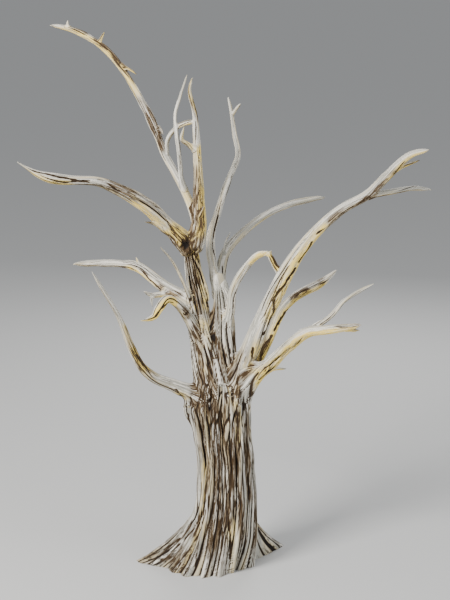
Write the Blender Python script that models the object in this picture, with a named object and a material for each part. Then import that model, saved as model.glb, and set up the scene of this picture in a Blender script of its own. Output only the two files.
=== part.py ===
"""A dead tree: a weathered, leafless snag on a fluted trunk with splayed root toes.

Metres, +Z up. The origin is in the flat cut under the trunk, at ground level. +X is the side of the
large right bough and -Y is the front. The trunk is a stack of fluted rings. Every limb is a tube that
tapers along a smooth course through a few bends. It starts inside what carries it, and is cut back to
that skin with a hair's gap.
"""

import math

import bmesh
import bpy
from mathutils import Matrix, Vector

# The trunk: height, sideways lean and radius, from the ground to the domed fork under the boughs. Its
# rings crowd towards the ground, where the root toes are.
TRUNK_STATIONS = (
    (0.00, 0.00, 0.50),
    (0.60, 0.00, 0.52),
    (1.20, 0.02, 0.49),
    (1.90, 0.01, 0.45),
    (2.40, -0.05, 0.46),
    (2.90, -0.09, 0.48),
    (3.20, -0.08, 0.38),
)
TRUNK_SIDES = 80
TRUNK_RINGS = 17
TRUNK_CROWDING = 1.4
DOME_RISE = 0.14
DOME_RINGS = ((0.7, 0.7), (1.0, 0.35))

# The broad ribs that run up the trunk from its root toes: bearing in degrees from +X at the ground, half
# way up and at the fork, half width in degrees and rise. The trunk is sunk between them.
TRUNK_RIBS = (
    (174, 187, 202, 9, 0.075),
    (199, 210, 221, 8, 0.055),
    (217, 230, 241, 7, 0.060),
    (238, 250, 262, 7, 0.055),
    (261, 275, 286, 8, 0.055),
    (288, 302, 310, 8, 0.065),
    (318, 330, 336, 9, 0.060),
    (352, 357, 362, 9, 0.060),
    (32, 28, 30, 9, 0.065),
    (59, 55, 57, 8, 0.055),
    (84, 83, 86, 9, 0.065),
    (111, 112, 113, 8, 0.055),
    (134, 139, 145, 9, 0.065),
    (155, 165, 174, 7, 0.050),
)
RIB_HOLLOW = 0.035

# The root toes at the ground: bearing in degrees from +X, reach past the trunk, half width in degrees
# and the height at which each toe has run out into the trunk. The one with a negative reach is the
# hollow between two of them.
ROOT_TOES = (
    (172, 1.04, 16, 1.15),
    (199, 0.40, 12, 0.98),
    (217, 0.32, 10, 0.88),
    (236, 0.20, 9, 0.78),
    (255, 0.10, 9, 0.60),
    (305, -0.20, 32, 0.75),
    (45, 0.95, 11, 1.10),
    (82, 0.50, 13, 0.85),
    (128, 0.70, 13, 0.95),
)
TOE_HOLLOW = 1.7

# The swollen collar where the low left bough leaves: bearing, height, bulge, half width in degrees
# and half height.
COLLAR = (190, 2.84, 0.13, 30, 0.26)

# Limbs: the gap to a neighbour's skin, rings apart in mean radii and at least in metres, how far the
# section is from round and how it turns from ring to ring, and how blunt the worn tips are.
SKIN_GAP = 0.0003
RING_SPACING = 2.8
LEAST_SPACING = 0.13
LOBE_DEPTH = 0.05
LOBE_TURN = 0.6
TIP_BLUNTNESS = 0.55

WEATHERED_SILVER = (0.58, 0.57, 0.50, 1.0)
TRUNK_ROUGHNESS = 0.9
BARE_CREAM = (0.66, 0.60, 0.44, 1.0)
LIMB_ROUGHNESS = 0.85
SLENDER_RADIUS = 0.08

# Each limb: its bends from inside what carries it to its tip, the radius at both ends, and how fast
# the radius falls off (1 is a straight taper, less keeps the limb stout until near its tip). Knots
# are swellings: where along the limb, how much radius they add and their half length, as shares of
# the limb. Spurs are broken side twigs fused to the limb.
LIMBS = {
    "left_leader": {
        "bends": (
            (-0.12, 0.00, 2.75),
            (-0.31, 0.00, 3.45),
            (-0.40, 0.02, 4.15),
            (-0.45, 0.05, 4.70),
            (-0.54, 0.09, 5.15),
            (-0.60, 0.10, 5.62),
        ),
        "radii": (0.31, 0.115),
        "fall": 1.3,
    },
    "centre_stem": {
        "bends": (
            (0.02, 0.05, 2.75),
            (0.03, 0.08, 3.40),
            (-0.02, 0.14, 4.00),
            (-0.05, 0.22, 4.55),
            (-0.10, 0.30, 4.98),
        ),
        "radii": (0.28, 0.11),
        "fall": 1.0,
    },
    "low_left_bough": {
        "bends": (
            (-0.12, 0.02, 2.45),
            (-0.52, -0.10, 3.00),
            (-0.85, -0.28, 3.25),
            (-1.25, -0.54, 3.54),
            (-1.52, -0.76, 4.02),
            (-1.76, -1.02, 4.70),
            (-2.11, -1.35, 5.43),
        ),
        "radii": (0.20, 0.028),
        "fall": 2.3,
        "knots": ((0.65, 0.012, 0.16),),
    },
    "large_right_bough": {
        "bends": (
            (0.10, 0.00, 2.80),
            (0.32, -0.10, 3.55),
            (0.57, -0.28, 4.27),
            (0.90, -0.52, 5.09),
            (1.30, -0.70, 5.79),
            (1.76, -0.88, 6.31),
            (2.22, -1.01, 6.59),
            (2.52, -1.11, 6.91),
            (2.84, -1.23, 7.24),
            (3.15, -1.33, 7.35),
        ),
        "radii": (0.18, 0.030),
        "fall": 0.9,
        "knots": ((0.90, 0.013, 0.10),),
        "spurs": (((2.60, -1.12, 6.98), (2.82, -1.10, 7.09), (3.04, -1.07, 7.15)),),
        "spur_radii": (0.040, 0.020),
    },
    "right_prong": {
        "bends": (
            (2.16, -0.99, 6.55),
            (2.42, -0.95, 6.61),
            (2.72, -0.84, 6.65),
            (3.02, -0.71, 6.66),
            (3.30, -0.58, 6.61),
        ),
        "radii": (0.050, 0.026),
        "fall": 0.7,
    },
    "second_right_bough": {
        "bends": (
            (0.14, 0.10, 2.95),
            (0.46, 0.25, 3.54),
            (0.68, 0.42, 3.92),
            (0.86, 0.62, 4.24),
            (1.14, 0.90, 4.46),
            (1.62, 1.38, 4.66),
            (1.97, 1.72, 4.86),
        ),
        "radii": (0.155, 0.024),
        "fall": 0.8,
        "knots": ((0.82, 0.016, 0.12),),
    },
    "third_right_bough": {
        "bends": (
            (0.12, -0.04, 2.85),
            (0.50, -0.20, 3.42),
            (0.77, -0.46, 3.76),
            (1.03, -0.78, 4.09),
            (1.29, -1.08, 4.36),
            (1.58, -1.42, 4.50),
            (2.09, -1.98, 4.71),
        ),
        "radii": (0.135, 0.030),
        "fall": 0.7,
        "spurs": (((1.80, -1.66, 4.59), (1.94, -1.74, 4.58), (2.08, -1.80, 4.58)),),
        "spur_radii": (0.040, 0.020),
    },
    "third_right_fork": {
        "bends": (
            (1.25, -1.05, 4.34),
            (1.50, -1.14, 4.55),
            (1.68, -1.15, 4.69),
            (1.92, -1.07, 4.93),
            (2.38, -0.89, 5.15),
        ),
        "radii": (0.048, 0.018),
        "fall": 0.8,
    },
    "right_stub": {
        "bends": (
            (0.18, 0.12, 2.78),
            (0.44, 0.26, 3.08),
            (0.56, 0.37, 3.27),
            (0.74, 0.52, 3.34),
            (1.05, 0.77, 3.31),
        ),
        "radii": (0.075, 0.014),
        "fall": 0.9,
    },
    "middle_left_bough": {
        "bends": (
            (-0.45, 0.06, 4.50),
            (-0.78, 0.20, 4.71),
            (-1.05, 0.42, 4.85),
            (-1.45, 0.78, 5.08),
            (-1.82, 1.12, 5.09),
            (-2.24, 1.48, 5.02),
            (-2.73, 1.92, 4.92),
        ),
        "radii": (0.115, 0.030),
        "fall": 0.9,
        "knots": ((0.85, 0.012, 0.15),),
        "spurs": (((-1.45, 0.80, 5.07), (-1.50, 0.80, 5.17), (-1.54, 0.79, 5.27)),),
        "spur_radii": (0.034, 0.012),
    },
    "left_stub": {
        "bends": ((-0.86, 0.28, 4.76), (-1.08, 0.25, 4.73), (-1.24, 0.17, 4.73), (-1.38, 0.08, 4.81)),
        "radii": (0.055, 0.026),
        "fall": 0.8,
        "spurs": (((-1.22, 0.17, 4.74), (-1.24, 0.14, 4.65), (-1.23, 0.10, 4.55)),),
        "spur_radii": (0.030, 0.013),
    },
    "crooked_left_limb": {
        "bends": (
            (-0.40, 0.00, 3.88),
            (-0.60, -0.16, 4.36),
            (-0.78, -0.34, 4.66),
            (-0.96, -0.51, 4.80),
            (-1.09, -0.63, 4.67),
            (-1.18, -0.70, 4.54),
            (-1.39, -0.83, 4.52),
        ),
        "radii": (0.110, 0.024),
        "fall": 0.9,
        "knots": ((0.76, 0.020, 0.14),),
        "spurs": (((-0.74, -0.31, 4.60), (-0.78, -0.35, 4.70), (-0.80, -0.37, 4.80)),),
        "spur_radii": (0.036, 0.012),
    },
    "thin_left_twig": {
        "bends": ((-0.52, 0.04, 4.50), (-0.67, -0.08, 4.90), (-0.86, -0.28, 5.37), (-1.07, -0.50, 5.68)),
        "radii": (0.032, 0.011),
        "fall": 0.8,
    },
    "upper_left_bough": {
        "bends": (
            (-0.56, 0.09, 5.36),
            (-0.80, 0.02, 5.76),
            (-1.08, -0.15, 6.08),
            (-1.32, -0.32, 6.34),
            (-1.66, -0.54, 6.61),
            (-2.05, -0.77, 6.80),
            (-2.58, -1.02, 6.87),
            (-2.90, -1.17, 6.95),
            (-3.24, -1.33, 7.16),
        ),
        "radii": (0.16, 0.024),
        "fall": 1.1,
        "knots": ((0.83, 0.035, 0.09),),
        "spurs": (
            ((-0.88, -0.06, 5.74), (-1.02, -0.14, 5.90), (-1.16, -0.22, 6.00), (-1.33, -0.36, 6.06)),
        ),
        "spur_radii": (0.048, 0.015),
    },
    "tall_left_bough": {
        "bends": (
            (-0.59, 0.10, 5.40),
            (-0.50, 0.14, 5.90),
            (-0.60, 0.22, 6.28),
            (-0.96, 0.44, 6.99),
            (-1.15, 0.56, 7.46),
            (-1.45, 0.71, 8.03),
            (-1.82, 0.90, 8.56),
            (-2.20, 1.07, 8.88),
            (-2.58, 1.20, 9.08),
            (-2.98, 1.32, 9.15),
        ),
        "radii": (0.070, 0.038),
        "fall": 1.0,
        "knots": ((0.49, 0.018, 0.07), (0.76, 0.014, 0.05), (0.88, 0.009, 0.05)),
        "spurs": (
            ((-2.14, 1.05, 8.86), (-2.09, 1.03, 8.96), (-2.03, 1.00, 9.06)),
            ((-2.66, 1.22, 9.10), (-2.67, 1.21, 9.17), (-2.66, 1.20, 9.24)),
            ((-1.80, 0.89, 8.53), (-1.63, 0.81, 8.46), (-1.48, 0.73, 8.37)),
            ((-1.14, 0.55, 7.50), (-1.07, 0.50, 7.45), (-1.04, 0.48, 7.38)),
        ),
        "spur_radii": (0.034, 0.011),
    },
    "crown_spike": {
        "bends": (
            (-0.57, 0.08, 5.36),
            (-0.43, 0.10, 5.86),
            (-0.45, 0.10, 6.45),
            (-0.50, 0.07, 7.10),
            (-0.52, 0.00, 7.75),
            (-0.59, -0.05, 8.13),
            (-0.54, -0.10, 8.37),
        ),
        "radii": (0.115, 0.016),
        "fall": 0.85,
        "spurs": (
            ((-0.49, 0.06, 7.14), (-0.60, -0.01, 7.26), (-0.72, -0.10, 7.37), (-0.68, -0.17, 7.59)),
            ((-0.44, 0.10, 6.06), (-0.40, 0.05, 6.16), (-0.36, 0.01, 6.27)),
        ),
        "spur_radii": (0.048, 0.015),
    },
    "crown_cross_limb": {
        "bends": (
            (-0.51, 0.01, 7.66),
            (-0.68, 0.11, 7.61),
            (-0.83, 0.21, 7.53),
            (-0.95, 0.32, 7.34),
            (-0.98, 0.43, 7.05),
        ),
        "radii": (0.040, 0.032),
        "fall": 1.0,
    },
    "crown_side_spike": {
        "bends": (
            (-0.64, 0.26, 6.40),
            (-0.74, 0.22, 6.70),
            (-0.77, 0.17, 7.05),
            (-0.81, 0.15, 7.42),
            (-0.83, 0.22, 7.74),
            (-0.76, 0.34, 8.02),
            (-0.64, 0.42, 8.39),
        ),
        "radii": (0.044, 0.014),
        "fall": 0.8,
    },
    "s_bough": {
        "bends": (
            (-0.09, 0.28, 4.55),
            (-0.22, 0.48, 5.05),
            (-0.28, 0.61, 5.60),
            (-0.15, 0.74, 6.08),
            (0.03, 0.88, 6.56),
            (0.20, 1.01, 6.96),
            (0.15, 1.12, 7.34),
            (0.10, 1.22, 7.68),
            (0.04, 1.31, 7.95),
        ),
        "radii": (0.085, 0.020),
        "fall": 0.8,
        "spurs": (((0.11, 1.20, 7.64), (0.18, 1.17, 7.76), (0.25, 1.12, 7.85)),),
        "spur_radii": (0.032, 0.016),
    },
    "middle_right_bough": {
        "bends": (
            (-0.06, 0.26, 4.50),
            (-0.11, 0.50, 4.86),
            (-0.04, 0.84, 5.25),
            (0.18, 1.11, 5.51),
            (0.55, 1.50, 5.76),
            (1.10, 1.98, 5.99),
            (1.79, 2.50, 6.06),
        ),
        "radii": (0.095, 0.026),
        "fall": 0.9,
        "knots": ((0.85, 0.014, 0.15),),
        "spurs": (((-0.05, 0.84, 5.26), (-0.01, 0.79, 5.50), (0.08, 0.72, 5.72)),),
        "spur_radii": (0.024, 0.009),
    },
    "arch_limb_rise": {
        "bends": (
            (0.00, 0.12, 4.05),
            (0.07, -0.02, 4.50),
            (0.09, -0.10, 4.82),
            (0.20, -0.17, 5.12),
            (0.44, -0.29, 5.45),
            (0.69, -0.38, 5.58),
        ),
        "radii": (0.075, 0.048),
        "fall": 1.0,
    },
    "arch_limb_fall": {
        "bends": ((0.67, -0.37, 5.56), (0.74, -0.41, 5.46), (0.82, -0.46, 5.32), (0.96, -0.55, 5.20)),
        "radii": (0.048, 0.052),
        "fall": 1.0,
    },
}


def clear_scene():
    for obj in list(bpy.data.objects):
        bpy.data.objects.remove(obj, do_unlink=True)


def between(stations, height):
    """The values that follow the first one in each station, eased from station to station."""
    for below, above in zip(stations, stations[1:]):
        if height <= above[0]:
            share = (height - below[0]) / (above[0] - below[0])
            share = share * share * (3 - 2 * share)
            return [low + (high - low) * share for low, high in zip(below[1:], above[1:])]
    return list(stations[-1][1:])


def catmull_rom(bends, share):
    """The point at this share (0 to 1) of the rounded course that passes through every bend."""
    ends = (2 * bends[0] - bends[1], 2 * bends[-1] - bends[-2])
    points = [ends[0], *bends, ends[1]]
    place = min(share * (len(bends) - 1), len(bends) - 1.000001)
    first = int(place)
    t = place - first
    before, start, end, after = points[first : first + 4]
    steady = 2 * start
    linear = (end - before) * t
    square = (2 * before - 5 * start + 4 * end - after) * t**2
    cube = (3 * start - before - 3 * end + after) * t**3
    return (steady + linear + square + cube) / 2


def even_course(bends, spacing):
    """Points evenly spaced along the rounded course through the bends."""
    bends = [Vector(bend) for bend in bends]
    fine_steps = 24 * len(bends)
    fine = [catmull_rom(bends, step / fine_steps) for step in range(fine_steps + 1)]
    lengths = [0.0]
    for near, far in zip(fine, fine[1:]):
        lengths.append(lengths[-1] + (far - near).length)
    count = max(3, round(lengths[-1] / spacing))
    course = []
    segment = 0
    for step in range(count + 1):
        wanted = lengths[-1] * step / count
        while segment < len(fine) - 2 and lengths[segment + 1] < wanted:
            segment += 1
        share = (wanted - lengths[segment]) / (lengths[segment + 1] - lengths[segment])
        course.append(fine[segment].lerp(fine[segment + 1], share))
    return course


def ring_frames(course):
    """A turning frame at each point of the course: its columns are two sides and the direction."""
    frames = []
    side = Vector((0, 0, 1)).cross(course[1] - course[0]).normalized()
    for index in range(len(course)):
        ahead = course[min(index + 1, len(course) - 1)]
        behind = course[max(index - 1, 0)]
        along = (ahead - behind).normalized()
        side = (side - along * side.dot(along)).normalized()
        frames.append(Matrix((side, along.cross(side), along)).transposed())
    return frames


def stack_rings(places, sides):
    """A closed mesh: a circle extruded from ring to ring, with both ends filled."""
    bm = bmesh.new()
    bearing = bm.verts.layers.float.new("bearing")
    corners = bmesh.ops.create_circle(bm, segments=sides, radius=1.0)["verts"]
    for corner in corners:
        corner[bearing] = math.atan2(corner.co.y, corner.co.x)
        corner.co = places[0](corner[bearing])
    edges = bm.edges[:]
    for place in places[1:]:
        made = bmesh.ops.extrude_edge_only(bm, edges=edges)["geom"]
        corners = {item for item in made if isinstance(item, bmesh.types.BMVert)}
        for corner in corners:
            corner.co = place(corner[bearing])
        edges = [item for item in made if isinstance(item, bmesh.types.BMEdge)]
        edges = [edge for edge in edges if corners.issuperset(edge.verts)]
    bmesh.ops.holes_fill(bm, edges=bm.edges[:], sides=0)
    bmesh.ops.triangulate(bm, faces=bm.faces[:])
    bmesh.ops.recalc_face_normals(bm, faces=bm.faces[:])
    return bm


def add_object(name, bm):
    mesh = bpy.data.meshes.new(name)
    bm.to_mesh(mesh)
    bm.free()
    mesh.shade_smooth()
    obj = bpy.data.objects.new(name, mesh)
    bpy.context.scene.collection.objects.link(obj)
    return obj


def nearness(bearing, middle, half_width):
    """1 where the bearing meets this middle, in degrees, falling away over the half width."""
    away = (math.degrees(bearing) - middle + 180) % 360 - 180
    return math.exp(-((away / half_width) ** 2))


def trunk_point(bearing, height):
    """The trunk's skin at this bearing and height, with its ribs, root toes and collar."""
    lean, radius = between(TRUNK_STATIONS, height)
    radius -= RIB_HOLLOW
    share = height / TRUNK_STATIONS[-1][0]
    for foot, waist, top, half_width, rise in TRUNK_RIBS:
        bend = 4 * waist - 3 * foot - top
        rib_bearing = foot + bend * share + (top - foot - bend) * share**2
        radius += rise * nearness(bearing, rib_bearing, half_width)
    for toe_bearing, reach, half_width, run_out in ROOT_TOES:
        if height < run_out:
            hollow = (1 - height / run_out) ** TOE_HOLLOW
            radius += reach * hollow * nearness(bearing, toe_bearing, half_width)
    collar_bearing, collar_height, bulge, half_width, half_height = COLLAR
    fading = math.exp(-(((height - collar_height) / half_height) ** 2))
    radius += bulge * fading * nearness(bearing, collar_bearing, half_width)
    return Vector((lean + radius * math.cos(bearing), radius * math.sin(bearing), height))


def build_trunk():
    fork_height = TRUNK_STATIONS[-1][0]
    heights = [fork_height * (ring / TRUNK_RINGS) ** TRUNK_CROWDING for ring in range(TRUNK_RINGS + 1)]
    places = [lambda bearing, height=height: trunk_point(bearing, height) for height in heights]
    fork = Vector((TRUNK_STATIONS[-1][1], 0, fork_height))
    for rise, shrink in DOME_RINGS:
        crown = fork + Vector((0, 0, DOME_RISE * rise))

        def dome(bearing, crown=crown, shrink=shrink):
            rim = trunk_point(bearing, fork_height) - fork
            return crown + rim * shrink

        places.append(dome)
    return add_object("trunk", stack_rings(places, TRUNK_SIDES))


def sides_for(radius):
    return 14 if radius > 0.17 else 12 if radius > 0.10 else 10 if radius > 0.05 else 8


def build_limb(name, bends, radii, fall, knots=()):
    """A tapering tube through the bends, slightly lobed, with a blunt worn tip."""
    root, tip = radii
    spacing = max(LEAST_SPACING, RING_SPACING * (root + tip) / 2)
    course = even_course(bends, spacing)
    places = []
    for ring, (centre, frame) in enumerate(zip(course, ring_frames(course))):
        share = ring / (len(course) - 1)
        radius = tip + (root - tip) * (1 - share) ** fall
        radius += sum(rise * math.exp(-(((share - at) / half) ** 2)) for at, rise, half in knots)
        places.append(ring_place(centre, frame, radius, ring))
    worn = course[-1] + (course[-1] - course[-2]).normalized() * tip * TIP_BLUNTNESS
    places.append(ring_place(worn, frame, tip * TIP_BLUNTNESS, ring))
    return add_object(name, stack_rings(places, sides_for(root)))


def ring_place(centre, frame, radius, ring):
    def place(bearing):
        lobed = radius * (1 + LOBE_DEPTH * math.cos(2 * bearing + LOBE_TURN * ring))
        return centre + frame @ Vector((lobed * math.cos(bearing), lobed * math.sin(bearing), 0))

    return place


def combine(obj, other, operation):
    """Applies a Boolean with the other object, and keeps only the largest piece."""
    boolean = obj.modifiers.new(operation, "BOOLEAN")
    boolean.operation = operation
    boolean.solver = "EXACT"
    boolean.object = other
    graph = bpy.context.evaluated_depsgraph_get()
    mesh = bpy.data.meshes.new_from_object(obj.evaluated_get(graph))
    obj.modifiers.remove(boolean)
    obj.data = mesh
    mesh.name = obj.name
    drop_scraps(mesh)


def pieces_of(bm):
    """The corners of each connected piece."""
    unseen = set(bm.verts)
    pieces = []
    while unseen:
        piece = set()
        frontier = [unseen.pop()]
        while frontier:
            corner = frontier.pop()
            piece.add(corner)
            linked = {edge.other_vert(corner) for edge in corner.link_edges} & unseen
            unseen -= linked
            frontier += linked
        pieces.append(piece)
    return pieces


def drop_scraps(mesh):
    """Keeps the piece with the most corners."""
    bm = bmesh.new()
    bm.from_mesh(mesh)
    pieces = sorted(pieces_of(bm), key=len)
    scraps = [corner for piece in pieces[:-1] for corner in piece]
    bmesh.ops.delete(bm, geom=scraps, context="VERTS")
    bm.to_mesh(mesh)
    bm.free()


def grown_copy(obj):
    """A copy of the object, swollen by the gap, to cut its neighbours with."""
    mesh = obj.data.copy()
    for vertex, source in zip(mesh.vertices, obj.data.vertices):
        vertex.co = source.co + source.normal * SKIN_GAP
    copy = bpy.data.objects.new(obj.name + "_cutter", mesh)
    copy.hide_render = True
    copy.display_type = "WIRE"
    bpy.context.scene.collection.objects.link(copy)
    return copy


def bounds(obj):
    corners = [Vector(vertex.co) for vertex in obj.data.vertices]
    low = Vector([min(corner[axis] for corner in corners) for axis in range(3)])
    high = Vector([max(corner[axis] for corner in corners) for axis in range(3)])
    return low, high


def boxes_meet(one, other):
    (low, high), (other_low, other_high) = bounds(one), bounds(other)
    return all(low[axis] < other_high[axis] and other_low[axis] < high[axis] for axis in range(3))


def finish(obj, colour, roughness):
    material = bpy.data.materials.new(obj.name + "_wood")
    material.use_nodes = True
    shader = material.node_tree.nodes["Principled BSDF"]
    shader.inputs["Base Color"].default_value = colour
    shader.inputs["Roughness"].default_value = roughness
    shader.inputs["Metallic"].default_value = 0.0
    obj.data.materials.clear()
    obj.data.materials.append(material)


def main():
    clear_scene()
    trunk = build_trunk()
    finish(trunk, WEATHERED_SILVER, TRUNK_ROUGHNESS)
    cutters = [grown_copy(trunk)]
    for name, limb in LIMBS.items():
        obj = build_limb(name, limb["bends"], limb["radii"], limb["fall"], limb.get("knots", ()))
        for spur in limb.get("spurs", ()):
            twig = build_limb(name + "_spur", spur, limb["spur_radii"], 1.0)
            combine(obj, twig, "UNION")
            bpy.data.objects.remove(twig, do_unlink=True)
        own_cutter = grown_copy(obj)
        for cutter in cutters:
            if boxes_meet(obj, cutter):
                combine(obj, cutter, "DIFFERENCE")
        cutters.append(own_cutter)
        slender = limb["radii"][0] < SLENDER_RADIUS
        finish(obj, BARE_CREAM if slender else WEATHERED_SILVER, LIMB_ROUGHNESS)
    for cutter in cutters:
        bpy.data.objects.remove(cutter, do_unlink=True)


main()
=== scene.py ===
"""Dresses the frame of a dead tree in weathered wood: sinewy ribs, dark fissures and broken spurs.

Every limb is one sheet, rolled round the same rounded course as its solid, swollen where it meets what
carries it, and cut by ribs and fissures that run along the grain.
"""

import itertools
import math

import bmesh
import bpy
import numpy as np
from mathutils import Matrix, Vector


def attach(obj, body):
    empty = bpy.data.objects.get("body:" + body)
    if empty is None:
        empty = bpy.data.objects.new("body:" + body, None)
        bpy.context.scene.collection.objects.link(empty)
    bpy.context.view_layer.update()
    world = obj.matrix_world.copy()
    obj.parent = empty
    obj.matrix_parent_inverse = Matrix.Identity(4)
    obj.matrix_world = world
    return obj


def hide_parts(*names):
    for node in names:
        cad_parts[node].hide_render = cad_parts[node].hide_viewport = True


bl_info = {
    "name": "Dead tree",
    "version": (1, 0, 0),
    "blender": (4, 5, 0),
    "location": "3D View > Sidebar > Dead tree",
    "description": "Dresses a dead tree in ribbed, fissured, weathered wood",
    "category": "Add Mesh",
}

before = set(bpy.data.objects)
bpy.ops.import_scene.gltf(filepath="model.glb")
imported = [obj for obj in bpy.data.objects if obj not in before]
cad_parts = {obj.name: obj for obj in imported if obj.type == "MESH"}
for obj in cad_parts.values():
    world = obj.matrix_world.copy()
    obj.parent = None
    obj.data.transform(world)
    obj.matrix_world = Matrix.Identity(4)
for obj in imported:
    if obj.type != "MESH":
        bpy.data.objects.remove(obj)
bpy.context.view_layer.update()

# The trunk: height, sideways lean and radius, from the ground to the domed fork under the boughs.
TRUNK_STATIONS = (
    (0.00, 0.00, 0.50),
    (0.60, 0.00, 0.52),
    (1.20, 0.02, 0.49),
    (1.90, 0.01, 0.45),
    (2.40, -0.05, 0.46),
    (2.90, -0.09, 0.48),
    (3.20, -0.08, 0.38),
)
FORK_HEIGHT = TRUNK_STATIONS[-1][0]
DOME_RISE = 0.14
DOME_SHARE = 0.07

# The broad ribs that run up the trunk from its root toes: bearing in degrees from +X at the ground, half
# way up and at the fork, half width in degrees and rise. The trunk is sunk between them.
TRUNK_RIBS = (
    (174, 187, 202, 9, 0.075),
    (199, 210, 221, 8, 0.055),
    (217, 230, 241, 7, 0.060),
    (238, 250, 262, 7, 0.055),
    (261, 275, 286, 8, 0.055),
    (288, 302, 310, 8, 0.065),
    (318, 330, 336, 9, 0.060),
    (352, 357, 362, 9, 0.060),
    (32, 28, 30, 9, 0.065),
    (59, 55, 57, 8, 0.055),
    (84, 83, 86, 9, 0.065),
    (111, 112, 113, 8, 0.055),
    (134, 139, 145, 9, 0.065),
    (155, 165, 174, 7, 0.050),
)
RIB_HOLLOW = 0.035

# The root toes: bearing in degrees from +X, reach past the trunk, half width in degrees, and the
# height at which each has run out. The negative one is the hollow between two of them.
ROOT_TOES = (
    (172, 1.04, 16, 1.15),
    (199, 0.40, 12, 0.98),
    (217, 0.32, 10, 0.88),
    (236, 0.20, 9, 0.78),
    (255, 0.10, 9, 0.60),
    (305, -0.20, 32, 0.75),
    (45, 0.95, 11, 1.10),
    (82, 0.50, 13, 0.85),
    (128, 0.70, 13, 0.95),
)
TOE_HOLLOW = 1.7

# The collar where the low left bough leaves: bearing, height, bulge, half width and half height.
COLLAR = (190, 2.84, 0.13, 30, 0.26)

# The lowest and highest corner of a box round the trunk, with room over its fork.
TRUNK_BOX = (np.array((-1.7, -1.2, -0.1)), np.array((1.4, 1.4, FORK_HEIGHT + 0.7)))

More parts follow.
